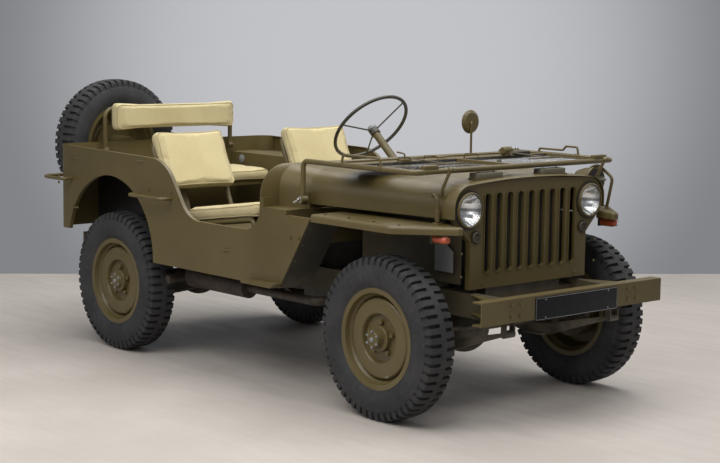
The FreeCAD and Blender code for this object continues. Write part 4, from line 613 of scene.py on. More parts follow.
def tyre_mesh(radius, width, bead):
    """A mud tyre: bars from a joined middle out over the shoulders, offset from side to side."""
    bars, depth = 54, 0.014
    half = width / 2
    shoulder = 0.066
    # half section from the middle of the tread to the bead: (across, radius, 1 in the zone of the bars)
    section = [
        (0.0, radius, 0), (0.010, radius, 0), (0.0145, radius - 0.0001, 0), (0.0155, radius - 0.0002, 1),
        (0.036, radius - 0.0012, 1), (0.055, radius - 0.003, 1), (shoulder, radius - 0.0065, 1),
        (0.0705, radius - 0.014, 1), (0.0725, radius - 0.025, 1), (0.0732, radius - 0.040, 1),
        (0.0736, radius - 0.0405, 0), (0.0765, radius - 0.052, 0), (half - 0.0004, radius - 0.072, 0),
        (half, radius - 0.085, 0), (half - 0.0015, radius - 0.100, 0), (0.0745, radius - 0.116, 0),
        (0.0700, radius - 0.126, 0), (0.0685, radius - 0.1275, 0), (0.0690, radius - 0.1295, 0),
        (0.0660, radius - 0.134, 0), (0.0620, bead + 0.014, 0), (0.0585, bead + 0.004, 0), (0.0550, bead, 0),
    ]
    section = [(across, r, zone) for across, r, zone in section if r >= bead]
    pitch = 2 * math.pi / bars
    slot, edge = 0.40, 0.028    # shares of the pitch: the slot between two bars, and each of its slopes
    flank, flank_depth = 0.03, 0.45    # below the tread by this much the slots are shallower
    marks = (-slot / 2, -slot / 2 + edge, slot / 2 - edge, slot / 2)

    def floor_share(turn):
        """How deep the slot is at a place in the pitch, from 0 on the bar to 1 in the slot."""
        turn = (turn + 0.5) % 1.0 - 0.5
        return min(1.0, max(0.0, (slot / 2 - abs(turn)) / edge))

    stops = sorted({round((m + shift) % 1.0, 5) for m in marks for shift in (0.0, 0.5)} | {0.25, 0.75})
    verts, faces = [], []
    columns = [(-across, r, zone) for across, r, zone in section[:0:-1]] + section
    for bar in range(bars):
        for stop in stops:
            angle = (bar + stop) * pitch
            for across, r, zone in columns:
                share = floor_share(stop + (0.0 if across > 0 else 0.5)) if zone else 0.0
                taper = 1.0 if r > radius - flank else flank_depth
                here = r - depth * share * (1.0 if abs(across) < shoulder + 0.001 else 0.25) * taper
                inward = depth * share * 0.55 * taper if abs(across) > shoulder else 0.0
                side = across - math.copysign(inward, across) if across else 0.0
                verts.append((here * math.cos(angle), side, here * math.sin(angle)))
    rows, wide = bars * len(stops), len(columns)
    for i in range(rows):
        j = (i + 1) % rows
        for k in range(wide - 1):
            faces.append((i * wide + k, i * wide + k + 1, j * wide + k + 1, j * wide + k))
    mesh = bpy.data.meshes.new("tyre")
    mesh.from_pydata(verts, [], faces)
    bm = bmesh.new()
    bm.from_mesh(mesh)
    bmesh.ops.recalc_face_normals(bm, faces=bm.faces[:])
    bm.to_mesh(mesh)
    bm.free()
    mesh.materials.append(RUBBER)
    mesh.shade_smooth()
    mesh.set_sharp_from_angle(angle=math.radians(32))
    return mesh


def build_tyres():
    low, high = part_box("tyre_front_left")
    size = Vector(high) - Vector(low)
    base = tyre_mesh(size.z / 2, size.y, 0.205)
    for node, body in TYRE_BODIES.items():
        low, high = (Vector(c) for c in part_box(node))
        mesh = base.copy()
        if node == "spare_tyre":
            mesh.transform(Matrix.Rotation(math.pi / 2, 4, "Z"))
        mesh.transform(Matrix.Translation((low + high) / 2))
        obj = add_object("mud_" + node, mesh)
        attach(obj, body)
        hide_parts(node)


# ---------------------------------------------------------------- seats

def islands(node):
    """The points of each separate solid of a CAD node, the highest solid last."""
    bm = bmesh.new()
    bm.from_mesh(frame["nodes"][node].data)
    bmesh.ops.remove_doubles(bm, verts=bm.verts[:], dist=1e-5)
    seen, solids = set(), []
    for vert in bm.verts:
        if vert in seen:
            continue
        stack, points = [vert], []
        seen.add(vert)
        while stack:
            here = stack.pop()
            points.append(here.co.copy())
            for edge in here.link_edges:
                other = edge.other_vert(here)
                if other not in seen:
                    seen.add(other)
                    stack.append(other)
        solids.append(points)
    bm.free()
    return sorted(solids, key=lambda points: max(p.z for p in points))


PAD_PRESSURE, PAD_CAP, SIM_FRAMES = 2.6, 0.010, 20
PAD_VOXEL = 0.0078
PAD_EDGE, PAD_ROOM = 0.020, 0.004    # radius of the edges, and how far a pad may pass its CAD solid
RIPPLE, SWELL, SEWN_BAND = 0.0028, 0.0026, 0.09
SEAM_PITCH, SEAM_INSET, STITCH_INSET = 0.012, 0.012, 0.013


def pad_axes(lean):
    """Own axes of a pad that leans about the car's Y axis: along, across, through."""
    along = Vector((math.cos(lean), 0, math.sin(lean)))
    return along, Y, along.cross(Y)


def simulate(obj):
    """Blow the pad up as cloth and keep how far each point may move under a cap."""
    cloth = obj.modifiers.new("cloth", "CLOTH")
    settings = cloth.settings
    settings.quality = 5
    settings.mass = 0.4
    settings.tension_stiffness = settings.compression_stiffness = settings.shear_stiffness = 22
    settings.bending_stiffness = 1.2
    settings.use_pressure = True
    settings.uniform_pressure_force = PAD_PRESSURE
    settings.effector_weights.gravity = 0
    cloth.collision_settings.use_collision = False
    cloth.point_cache.frame_end = SIM_FRAMES
    scene = bpy.context.scene
    for frame_number in range(1, SIM_FRAMES + 1):
        scene.frame_set(frame_number)
    blown = obj.evaluated_get(bpy.context.evaluated_depsgraph_get())
    moved = [v.co.copy() for v in blown.to_mesh().vertices]
    blown.to_mesh_clear()
    obj.modifiers.remove(cloth)
    for vert, after in zip(obj.data.vertices, moved):
        step = after - vert.co
        vert.co += step * min(1.0, PAD_CAP / max(step.length, 1e-9))
    scene.frame_set(1)


def stuffed_block(name, inner):
    """A block with round edges, remeshed evenly and blown up as cloth."""
    made = bmesh.new()
    bmesh.ops.create_cube(made, size=1.0)
    made.transform(Matrix.Diagonal((*inner, 1.0)))
    bmesh.ops.bevel(made, geom=made.edges[:], offset=PAD_EDGE, segments=4, profile=0.5, affect="EDGES")
    mesh = bpy.data.meshes.new(name)
    made.to_mesh(mesh)
    made.free()
    pad = add_object(name, mesh)
    remesh = pad.modifiers.new("voxels", "REMESH")
    remesh.mode, remesh.voxel_size = "VOXEL", PAD_VOXEL
    solid = bpy.data.meshes.new_from_object(pad.evaluated_get(bpy.context.evaluated_depsgraph_get()))
    pad.modifiers.remove(remesh)
    pad.data = solid
    bpy.data.meshes.remove(mesh)
    simulate(pad)
    return pad


def wrinkle(pad, size, face_z, crease, rest_side):
    """Wrinkles that run off the sewn edges, and a flat underside where the pad rests."""
    for vert in pad.data.vertices:
        p = vert.co
        edge = min(size.x / 2 - abs(p.x), size.y / 2 - abs(p.y))
        near = max(0.0, 1.0 - edge / SEWN_BAND)
        ripple = noise.fractal(Vector((p.x * 21, p.y * 21, p.z * 9)) + Vector((crease, 0, 0)), 0.8, 2.0, 3)
        swell = noise.noise(Vector((p.x * 5, p.y * 5, crease)))
        p.z += (RIPPLE * near * ripple + SWELL * swell) * (1 if p.z * rest_side < 0 else 0.2)
        if p.z * rest_side > face_z:
            p.z = rest_side * (face_z + (abs(p.z) - face_z) * 0.35)
        for i in range(3):
            limit = size[i] / 2 + PAD_ROOM
            p[i] = max(-limit, min(limit, p[i]))


def face_route(hx, hy, corner=0.03):
    """Points round a pad's face with round corners, about one seam pitch apart."""
    route = []
    for cx, cy, start in ((1, 1, 0), (-1, 1, 90), (-1, -1, 180), (1, -1, 270)):
        for t in range(6):
            angle = math.radians(start + 18 * t)
            route.append(Vector((cx * (hx - corner) + corner * math.cos(angle),
                                 cy * (hy - corner) + corner * math.sin(angle), 0)))
    dense = []
    for a, b in zip(route, route[1:] + route[:1]):
        count = max(1, int((b - a).length / SEAM_PITCH))
        dense += [a.lerp(b, k / count) for k in range(count)]
    return dense


def sew(pad, size, place, rest_side):
    """Piping round both faces, and stitches round the one that isn't rested on."""
    tree = BVHTree.FromPolygons([v.co.copy() for v in pad.data.vertices],
                                [p.vertices[:] for p in pad.data.polygons])

    def on_pad(target, lift):
        hit, normal, _, _ = tree.find_nearest(target)
        return place @ (hit + normal * lift)

    def inwards(value, half):
        """Stitches run a little inside the piping."""
        return value - math.copysign(STITCH_INSET, value) * (abs(value) > half - 0.02)

    seam, stitch = Shape(), Shape()
    hx, hy = size.x / 2 - SEAM_INSET, size.y / 2 - SEAM_INSET
    route = face_route(hx, hy)
    for side in SIDES:
        piping = [on_pad(Vector((p.x * 1.01, p.y * 1.01, side * size.z * 0.42)), 0.0006) for p in route]
        seam.sweep(piping, 0.0032, 8, closed=True)
        if side == rest_side:
            continue
        row = [on_pad(Vector((inwards(p.x, hx), inwards(p.y, hy), side * size.z)), 0.0003) for p in route]
        for a, b in zip(row[::2], row[1::2]):
            if (b - a).length > 1e-4:
                middle, step = (a + b) / 2, (b - a).normalized() * 0.0028
                stitch.sweep([middle - step, middle + step], 0.0007, 5)
    return seam, stitch


def build_pad(name, node, points, lean, body, shrink, crease, rest_side):
    """One stuffed pad in the place of a CAD solid, with piping and stitches round its face."""
    to_own = Matrix(pad_axes(math.radians(lean))).to_4x4()
    own = [to_own @ p for p in points]
    low = Vector([min(p[i] for p in own) for i in range(3)])
    high = Vector([max(p[i] for p in own) for i in range(3)])
    middle, size = (low + high) / 2, high - low
    inner = Vector([size[i] - 2 * shrink[i] for i in range(3)])
    pad = stuffed_block(name, inner)
    wrinkle(pad, size, inner.z / 2, crease, rest_side)
    smooth = pad.modifiers.new("smooth", "SUBSURF")
    smooth.levels = smooth.render_levels = 1
    place = Matrix.Translation(to_own.inverted() @ middle) @ to_own.inverted()
    pad.data.materials.append(CANVAS)
    pad.data.shade_smooth()
    pad.matrix_world = place
    seam, stitch = sew(pad, size, place, rest_side)
    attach(pad, body)
    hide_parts(node)
    seam.piece(name + "_piping", PIPING, body, "canvas")
    stitch.piece(name + "_stitches", PIPING, body, "canvas")


def build_seats():
    cushion, rear_cushion, back = (0.001, 0.0, 0.005), (0.001, 0.001, 0.004), (0.001, 0.0, 0.004)
    # piece, CAD node, which of its solids, lean in degrees, body, shrink, crease, side that it rests on
    pads = (
        ("driver_cushion", "driver_seat_pads", 0, 8, "car_body", cushion, 3.0, -1),
        ("driver_backrest", "driver_seat_pads", 1, 115.5, "car_body", back, 8.0, 1),
        ("passenger_cushion", "passenger_seat_pads", 0, 8, "passenger_seat", cushion, 11.0, -1),
        ("passenger_backrest", "passenger_seat_pads", 1, 115.5, "passenger_seat", back, 16.0, 1),
        ("rear_cushion", "rear_seat_cushion", 0, 0, "car_body", rear_cushion, 21.0, -1),
        ("rear_backrest_pad", "rear_seat_back", 0, 90, "rear_backrest", back, 31.0, 1),
    )
    for name, node, solid, *rest in pads:
        build_pad(name, node, islands(node)[solid], *rest)


# ---------------------------------------------------------------- places read from the frame

def corners(node):
    low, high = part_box(node)
    return Vector(low), Vector(high)


def centre(node):
    low, high = corners(node)
    return (low + high) / 2


FRONT_AXLE = centre("tyre_front_left").x
FENDER_TOP = corners("fenders")[1].z
BODY_HALF = corners("rear_panel")[1].y
WHEEL_CENTRE = Vector(next(j["pos_m"] for j in frame["joints"] if j["name"] == "steering_wheel_turn"))
SPOKE_TURN = math.radians(36)
COLUMN_TILT = 40.6    # degrees above level
BAR_LOW, BAR_HIGH = corners("windshield_frame")
BAR_TOP = BAR_HIGH.z
GLASS_LOW, GLASS_HIGH = corners("windshield_glass")
GLASS_MIDDLE = (GLASS_LOW.z + GLASS_HIGH.z) / 2


def ahead(distance):
    """A station ahead of the front axle, or behind it where negative."""
    return FRONT_AXLE + distance


PANE_BACK = ahead(-0.220)    # where the panes meet the sheet panel of the folded windshield
HOOD_FRONT_HALF = 0.480


def hood_half(x):
    """Half the hood's width at a station: it narrows towards the grille."""
    low, high = corners("hood")
    share = (x - low.x) / (high.x - low.x)
    return high.y - (high.y - HOOD_FRONT_HALF) * share


# ---------------------------------------------------------------- lamps

def lamp_pair(node, depth, parts):
    """Lamps on both sides; parts lists piece, material, slot, steps, profiles, and whether it replaces
    the node. A profile may also be a function that adds to the shape at a place."""
    low, high = corners(node)
    radius = (high.z - low.z) / 2
    places = [Vector((high.x - depth, (high.y - radius) * side, (low.z + high.z) / 2)) for side in SIDES]
    for name, material, slot, steps, profiles, replaces in parts(radius):
        shape = Shape()
        for place in places:
            for profile in profiles:
                if callable(profile):
                    profile(shape, place)
                else:
                    shape.lathe(profile, place, X, steps)
        shape.piece(name, material, "car_body", slot, [node] if replaces else ())


def headlamp_parts(radius):
    # a black ring that shows round the rim: painted shade of the gap round the lamp
    shade_ring = ring(radius - 0.004, radius + 0.008, 0.0056, 0.0068)
    rim = [(radius - 0.009, 0.004), (radius - 0.008, 0.001), (radius, 0.001), (radius + 0.001, 0.010),
           (radius - 0.002, 0.016), (radius - 0.005, 0.018), (radius - 0.009, 0.016), (radius - 0.009, 0.004)]
    bucket = [(0, -0.070), (0.030, -0.069), (0.048, -0.058), (0.062, -0.030), (radius - 0.010, 0.0),
              (radius - 0.013, 0.002), (0.060, -0.029), (0.046, -0.055), (0.029, -0.066), (0, -0.067)]
    bowl = [(0, -0.046), (0.020, -0.043), (0.040, -0.033), (0.055, -0.016), (radius - 0.0092, 0.006),
            (radius - 0.0102, 0.008), (0.054, -0.014), (0.039, -0.031), (0.019, -0.041), (0, -0.044)]
    pane = [(0, 0.0225), (0.030, 0.0215), (0.056, 0.0180), (radius - 0.0085, 0.0125),
            (radius - 0.0085, 0.0100), (0.055, 0.0150), (0.030, 0.0185), (0, 0.0195)]
    bulb = [(0, -0.006), (0.006, -0.008), (0.009, -0.014), (0.008, -0.022), (0.006, -0.040), (0, -0.041)]
    return (
        ("headlamp_shade_rings", SEAL_AND_RING_SHADE, "lamp_glass", 48, (shade_ring,), False),
        ("headlamp_rims", OLIVE, "olive_paint", 48, (rim, bucket), True),
        ("headlamp_reflectors", CHROME, "lamp_glass", 48, (bowl,), True),
        ("headlamp_lenses", LENS, "lamp_glass", 48, (pane,), True),
        ("headlamp_bulbs", STEEL, "lamp_glass", 16, (bulb,), True),
    )


def marker_lamp_parts(radius):
    def cross(shape, place):
        """Two thin bars across the lens."""
        for flat, tall in ((0.012, 0.0018), (0.0018, 0.012)):
            half = Vector((0, flat, tall))
            shape.block(place + X * 0.007 - half, place + X * 0.0118 + half, 0.0006)

    # a black six-sided ring round the rim: painted shade of the recess round the lamp
    shade_ring = ring(radius - 0.003, radius + 0.008, 0.0056, 0.0068)
    rim = [(0, -0.020), (radius - 0.004, -0.020), (radius - 0.004, 0.0), (radius, 0.001), (radius, 0.008),
           (radius - 0.004, 0.013), (radius - 0.008, 0.011), (radius - 0.008, 0.006), (0, 0.006)]
    pane = [(0, 0.010), (0.010, 0.0095), (radius - 0.0085, 0.007), (radius - 0.0085, 0.003), (0, 0.003)]
    return (
        ("marker_lamp_shade_rings", SEAL_AND_RING_SHADE, "lamp_glass", 6, (shade_ring,), False),
        ("marker_lamp_rims", OLIVE_DARK, "olive_paint", 32, (rim, cross), True),
        ("marker_lamp_lenses", DARK_LENS, "lamp_glass", 24, (pane,), True),
    )


def build_blackout_lamp():
    """The blackout lamp on its stem behind its hoop, on the left fender."""
    x, y, radius = ahead(0.111), 0.602, 0.062
    z, foot = FENDER_TOP + 0.063 + radius, FENDER_TOP - 0.001
    stem, hoop_end = z - FENDER_TOP - 0.045, x + 0.076
    lamp, lens = Shape(), Shape()
    lamp.lathe([
        (0, -0.122), (0.026, -0.118), (0.044, -0.100), (0.056, -0.062), (radius, -0.016),
        (radius + 0.003, -0.012), (radius + 0.003, 0.004), (radius - 0.004, 0.007), (radius - 0.008, 0.002),
        (0, 0.002),
    ], (x, y, z), X, 40)
    lamp.lathe([(0, 0), (0.030, 0), (0.030, 0.006), (0.015, 0.012), (0.012, stem), (0, stem)],
               (x - 0.060, y, foot), Z, 24)
    lamp.strip([(x + 0.004, z + 0.020), (x + 0.030, z + 0.006), (x + 0.030, z), (x + 0.004, z + 0.012)],
               y - 0.045, y + 0.045, "Y", 0.0008)
    hoop = rounded([
        (x - 0.030, y, z + radius - 0.004), (x + 0.012, y, z + radius + 0.014),
        (x + 0.106, y, z + radius * 0.35), (hoop_end, y, FENDER_TOP + 0.010), (hoop_end, y, foot),
    ], 0.034)
    lamp.sweep(hoop, 0.0075, 12)
    lamp.lathe([(0, 0), (0.014, 0), (0.014, 0.004), (0.006, 0.007), (0, 0.007)], (hoop_end, y, foot), Z, 16)
    lens.lathe([(0, 0.006), (0.030, 0.0055), (radius - 0.009, 0.003), (radius - 0.009, 0.001), (0, 0.001)],
               (x, y, z), X, 32)
    lamp.piece("blackout_lamp", OLIVE)
    lens.piece("blackout_lens", DARK_LENS, slot="lamp_glass")


def build_indicators():
    """An amber lamp in a wire guard under each fender."""
    amber, guards = Shape(), Shape()
    front, across, roof = ahead(0.292), 0.545, FENDER_TOP - 0.002
    middle = roof - 0.054
    for side in SIDES:
        y = across * side
        amber.lathe([(0, -0.088), (0.012, -0.087), (0.018, -0.080), (0.018, -0.012), (0.014, -0.004),
                     (0, 0.0)], (front, y, middle), X, 24)
        guards.lathe(disc(0.009, 0, roof - middle), (front - 0.075, y, middle), Z, 12)
        guards.block((front - 0.094, y - 0.020, middle - 0.020), (front - 0.080, y + 0.020, middle + 0.022))
        for turn in range(4):
            angle = math.pi / 4 + turn * math.pi / 2
            off = Vector((0, math.cos(angle), math.sin(angle))) * 0.0225
            wire = [Vector((front + reach, y, middle)) + off * share
                    for reach, share in ((-0.088, 1), (-0.010, 1), (0.006, 0.5))]
            guards.sweep(wire, 0.0016, 6)
    amber.piece("indicator_lenses", AMBER, slot="lamp_glass")
    guards.piece("indicator_guards", OLIVE_DARK)


def build_tail_lamps():
    shells, lenses = Shape(), Shape()
    rear, across, height = corners("rear_panel")[0].x + 0.001, BODY_HALF - 0.100, 0.700
    for side in SIDES:
        place = (rear, across * side, height)
        shells.lathe([(0, 0), (0.040, 0), (0.040, 0.030), (0.036, 0.036), (0.032, 0.034), (0.032, 0.028),
                      (0, 0.028)], place, -X, 32)
        lenses.lathe([(0, 0.036), (0.020, 0.035), (0.0315, 0.031), (0.0315, 0.027), (0, 0.027)],
                     place, -X, 32)
    shells.piece("tail_lamp_shells", OLIVE)
    lenses.piece("tail_lamp_lenses", RED, slot="lamp_glass")


# ---------------------------------------------------------------- windshield and hood

WIPER_Y = 0.326


def build_panes():
    """Two panes, with a seal along the front and the rear edge of each."""
    z, front = GLASS_MIDDLE, GLASS_HIGH.x
    glass, rubber = Shape(), Shape()
    for side in SIDES:
        inner, outer = sorted((0.012 * side, (GLASS_HIGH.y - 0.001) * side))
        glass.block((PANE_BACK + 0.010, inner, z - 0.002), (front - 0.001, outer, z + 0.002), 0.0008)
        for low, high in ((PANE_BACK + 0.010, PANE_BACK + 0.016), (front - 0.006, front)):
            rubber.block((low, inner, z - 0.005), (high, outer, z + 0.005), 0.001)
    glass.piece("windshield_panes", GLASS, "windshield", "window_glass", ["windshield_glass"])
    rubber.piece("windshield_seals", SEAL_AND_RING_SHADE, "windshield")


def build_wipers():
    """Arms and blades, the motor with its knob, the handle's block with its hose, and the hose box."""
    back = PANE_BACK
    motors = Shape()
    for side in SIDES:
        y, tip = WIPER_Y * side, back + 0.235
        motors.sweep([(back + 0.030, y, BAR_TOP + 0.012), (back + 0.100, y + 0.010, BAR_TOP + 0.009),
                      (tip, y + 0.030, BAR_TOP + 0.001)], 0.0024, 8)
        motors.block((tip - 0.003, y - 0.085, BAR_TOP - 0.005),
                     (tip + 0.003, y + 0.145, BAR_TOP + 0.001), 0.001)
    motors.lathe([(0, -0.030), (0.015, -0.030), (0.018, -0.026), (0.018, 0.024), (0.015, 0.028), (0, 0.028)],
                 (back + 0.012, WIPER_Y, BAR_TOP + 0.020), Y, 24)
    motors.block((back - 0.006, WIPER_Y - 0.020, GLASS_MIDDLE + 0.006),
                 (back + 0.026, WIPER_Y + 0.020, BAR_TOP + 0.012), 0.003)
    motors.rod((back + 0.012, WIPER_Y + 0.028, BAR_TOP + 0.024),
               (back + 0.012, WIPER_Y + 0.046, BAR_TOP + 0.024), 0.004)
    motors.block((back - 0.016, -WIPER_Y - 0.026, GLASS_MIDDLE + 0.004),
                 (back + 0.016, -WIPER_Y + 0.026, BAR_TOP + 0.006), 0.004)
    motors.sweep(rounded([(back, -WIPER_Y, BAR_TOP), (back, -WIPER_Y, BAR_TOP + 0.030),
                          (back - 0.050, -WIPER_Y, BAR_TOP + 0.034)], 0.012), 0.0042, 8)
    motors.piece("wiper_motors", OLIVE, "windshield")
    box = Shape().block((back - 0.008, 0.383, BAR_TOP - 0.004), (back + 0.024, 0.481, BAR_TOP + 0.012), 0.004)
    for x in (back, back + 0.016):
        box.rod((x, 0.400, BAR_TOP + 0.020), (x, 0.400, BAR_TOP + 0.028), 0.004)
    box.piece("wiper_hose_box", SEAL_AND_RING_SHADE, "windshield")


def build_latches():
    latches, x = Shape(), BAR_HIGH.x - 0.012
    near, far = 0.505, 0.590
    for side in SIDES:
        inner, outer = sorted((near * side, far * side))
        latches.block((x - 0.020, inner, BAR_TOP - 0.004), (x + 0.010, outer, BAR_TOP + 0.016), 0.007)
        latches.block((x - 0.055, inner + 0.030, BAR_TOP - 0.002),
                      (x - 0.016, outer - 0.030, BAR_TOP + 0.004), 0.002)
        latches.hexagon((x - 0.040, (inner + outer) / 2, BAR_TOP + 0.002), Z, 0.011, 0.006)
    latches.piece("windshield_latches", OLIVE, "windshield")


def side_loop(sheet, side):
    """A bar loop on the frame's side tube, bolted down at both ends."""
    y = 0.640 * side
    rear_rise = 0.014 if side > 0 else 0.034    # the left one passes the mirror when the windshield is up
    stations = ((-0.290, -0.010), (-0.282, rear_rise), (-0.130, rear_rise), (-0.110, 0.034), (-0.040, 0.034),
                (-0.030, -0.010))
    sheet.sweep(rounded([(ahead(x), y, BAR_TOP + rise) for x, rise in stations], 0.012), 0.0055, 10)
    for end, inward in ((-0.290, 0.016), (-0.030, -0.016)):
        x = ahead(end)
        sheet.block((x - 0.014, y - 0.013, BAR_TOP - 0.016), (x + 0.014, y + 0.013, BAR_TOP - 0.002), 0.003)
        sheet.hexagon((x - 0.001 + inward, y, BAR_TOP - 0.004), Z, 0.009, 0.005)


def build_windshield_panel():
    """The sheet panel below the panes with its bars and rivets, the side loops and the hose clips."""
    z, back, front, half = GLASS_MIDDLE, PANE_BACK, GLASS_HIGH.x, GLASS_HIGH.y
    sheet = Shape().block((GLASS_LOW.x - 0.004, -half, z - 0.0015), (back, half, z + 0.0015), 0.0006)
    for x, wide, tall in ((back, 0.010, 0.009), (back - 0.026, 0.006, 0.005)):
        sheet.block((x - wide, -half - 0.003, z - tall), (x + wide, half + 0.003, z + tall), 0.003)
    sheet.block((back, -0.012, z - 0.006), (front + 0.004, 0.012, z + 0.007), 0.003)
    for y in (-0.50, -0.30, -0.10, 0.10, 0.30, 0.50):
        sheet.dome((GLASS_LOW.x + 0.014, y, z + 0.001), Z, 0.006, 0.004)
        sheet.dome((front + 0.012, y, z + 0.003), Z, 0.005, 0.004)
    for side in SIDES:
        side_loop(sheet, side)
    for y in (-0.40, -0.24, 0.02):
        clip = ((0.030, 0, -0.006), (0.040, 0, 0.020), (0.100, 0.02, 0.022), (0.105, 0.02, 0.002))
        sheet.sweep(rounded([(back + dx, y + dy, BAR_TOP + dz) for dx, dy, dz in clip], 0.010), 0.0026, 8)
    sheet.piece("windshield_panel", OLIVE, "windshield")


def build_wing_nuts():
    nuts = Shape()
    for side in SIDES:
        out = Y * side
        foot = Vector((BAR_LOW.x + 0.020, (BAR_HIGH.y + 0.002) * side, BAR_LOW.z + 0.020))
        nuts.lathe([(0, 0), (0.015, 0), (0.015, 0.003), (0.009, 0.005), (0.007, 0.016), (0, 0.017)],
                   foot, out, 20)
        for turn in (0.5, 0.5 + math.pi):
            arm = Vector((math.cos(turn), 0, math.sin(turn)))
            wing = [foot + out * away + arm * reach
                    for away, reach in ((0.010, 0.005), (0.014, 0.016), (0.017, 0.028))]
            nuts.sweep(wing, 0.005, 10, flat=0.5, flat_axis=out)
    nuts.piece("pivot_wing_nuts", STEEL, "windshield")


def build_hood_rests():
    """Timber rests for the folded windshield, in bolted steel feet."""
    rests, feet = Shape(), Shape()
    x, half, near, far, top = ahead(0.175), 0.028, 0.128, 0.284, BAR_TOP - 0.030
    for side in SIDES:
        inner, outer = sorted((near * side, far * side))
        rests.block((x - half, inner, top - 0.026), (x + half, outer, top), 0.004)
        feet.block((x - half - 0.004, inner - 0.006, top - 0.034),
                   (x + half + 0.004, outer + 0.006, top - 0.024), 0.002)
        for share in (0.2, 0.8):
            feet.hexagon((x, inner + (outer - inner) * share, top - 0.002), Z, 0.012, 0.005)
    rests.piece("hood_rest_timbers", TIMBER)
    feet.piece("hood_rest_feet", OLIVE)


def build_hood_catches():
    """Spring catches at the hood's sides and catch struts in front of it."""
    catches, x = Shape(), ahead(0.125)
    spring, strut_y = x + 0.062, 0.500
    for side in SIDES:
        y = (hood_half(x) + 0.014) * side
        hook = rounded([(spring, y, FENDER_TOP), (spring, y, 0.970), (x + 0.036, y, 0.994),
                        (x + 0.020, y - 0.012 * side, 0.984)], 0.016)
        catches.sweep(hook, 0.0055, 10)
        catches.block((x + 0.044, y - 0.016, FENDER_TOP - 0.001),
                      (x + 0.080, y + 0.016, FENDER_TOP + 0.008), 0.003)
        catches.lathe([(0.004, 0), (0.011, 0.002), (0.011, 0.046), (0.004, 0.048), (0.004, 0)],
                      (spring, y, FENDER_TOP + 0.010), Z, 16)
        y, foot = strut_y * side, (strut_y - 0.020) * side
        strut = rounded([(ahead(0.190), 0.486 * side, 0.985), (ahead(0.204), y, 1.018),
                         (ahead(0.250), y, 1.104), (ahead(0.262), y, 1.112)], 0.012)
        catches.sweep(strut, 0.0075, 12)
        catches.dome((ahead(0.256), y, 1.106), Z, 0.016, 0.012)
        catches.block((ahead(0.172), foot - 0.008, 0.960), (ahead(0.208), foot + 0.008, 0.995), 0.003)
    catches.piece("hood_catches", OLIVE)


def flat_outline(points, steps=6):
    """An outline of (u, v) or (u, v, radius) corners with its corners rounded."""
    outline = []
    for number, (u, v, *radius) in enumerate(points):
        if not radius:
            outline.append((u, v))
            continue
        before, after = points[number - 1], points[(number + 1) % len(points)]
        route = rounded([(before[0], before[1], 0), (u, v, 0), (after[0], after[1], 0)], radius[0], steps)
        outline += [(p.x, p.y) for p in route[1:-1]]
    return outline


EDGE_DROP, APRON_Y, APRON_LOW = 0.034, 0.400, 0.600


def fender_shell(outline, top, inner):
    """The top sheet of the left fender with a turned-down outer edge, round where it turns."""
    made = bmesh.new()
    upper, lower = ([made.verts.new((x, y, z)) for x, y in outline] for z in (top, top - EDGE_DROP))
    made.faces.new(upper)
    for i in range(len(upper)):
        j = (i + 1) % len(upper)
        if outline[i][1] > inner - 0.004 and outline[j][1] > inner - 0.004:
            made.faces.new((upper[i], lower[i], lower[j], upper[j]))
    bmesh.ops.recalc_face_normals(made, faces=made.faces[:])
    edges = [e for e in made.edges if len(e.link_faces) == 2
             and all(abs(v.co.z - top) < 1e-6 for v in e.verts)]
    bmesh.ops.bevel(made, geom=edges, offset=0.014, segments=4, profile=0.5, affect="EDGES")
    bmesh.ops.solidify(made, geom=made.faces[:], thickness=0.002)
    bmesh.ops.recalc_face_normals(made, faces=made.faces[:])
    return made


def build_fenders():
    """Shells with rounded edges, slanted struts behind the wheels, and inner aprons beside the engine. The struts'
    near black and the aprons' dark olive are painted shade.
    """
    low, high = corners("fenders")
    rear, top = corners("side_panels")[1].x + 0.002, high.z
    grille_low, grille_high = corners("grille_panel")
    inner = grille_high.y + 0.002
    outline = flat_outline([
        (rear, high.y), (ahead(0.110), high.y, 0.060), (high.x, 0.519, 0.020), (high.x, inner + 0.006, 0.020),
        (grille_high.x + 0.008, inner + 0.006), (grille_low.x, inner), (grille_low.x, APRON_Y),
        (rear, APRON_Y),
    ])
    shells, struts, aprons = Shape(), Shape(), Shape()
    shells.take(fender_shell(outline, top, inner))
    # the struts behind the front wheels are near black: painted shade
    struts.strip([(low.x, low.z), (rear, top - 0.030), (rear + 0.002, top - 0.030), (low.x + 0.002, low.z)],
                 0.530, high.y, "Y", 0)
    aprons.block((rear, APRON_Y, APRON_LOW), (grille_low.x, APRON_Y + 0.002, top - 0.004), 0.0005)
    # a strip that closes the slit between hood and fender, dark olive as painted shade in the slit
    aprons.block((rear, 0.440, top - 0.003), (corners("headlamps")[0].x - 0.012, 0.442, 0.905), 0.0005)
    for shape in (shells, struts, aprons):
        shape.mirror()
    build_junction_plate()
    shells.piece("fender_shells", OLIVE, replaces=["fenders"])
    struts.piece("fender_struts_painted_shade", CHASSIS_AND_STRUT_SHADE, replaces=["fenders"])
    aprons.piece("fender_aprons_painted_shade", OLIVE_DARK, replaces=["fenders"])


def build_junction_plate():
    """A sheet plate on a bracket at the right inner apron."""
    rear, front = ahead(0.084), ahead(0.196)
    outline = [(rear, 0.650), (front, 0.650), (front, 0.740), (ahead(0.154), 0.772), (rear, 0.772)]
    plate = Shape().strip(outline, -APRON_Y - 0.022, -APRON_Y - 0.018, "Y", 0.001)
    plate.block((ahead(0.120), -APRON_Y - 0.019, 0.690), (ahead(0.160), -APRON_Y - 0.001, 0.720), 0.001)
    plate.piece("junction_plate", GREY_STEEL)


# ---------------------------------------------------------------- controls and dash

FLOOR_TOP = corners("driver_seat_frame")[0].z


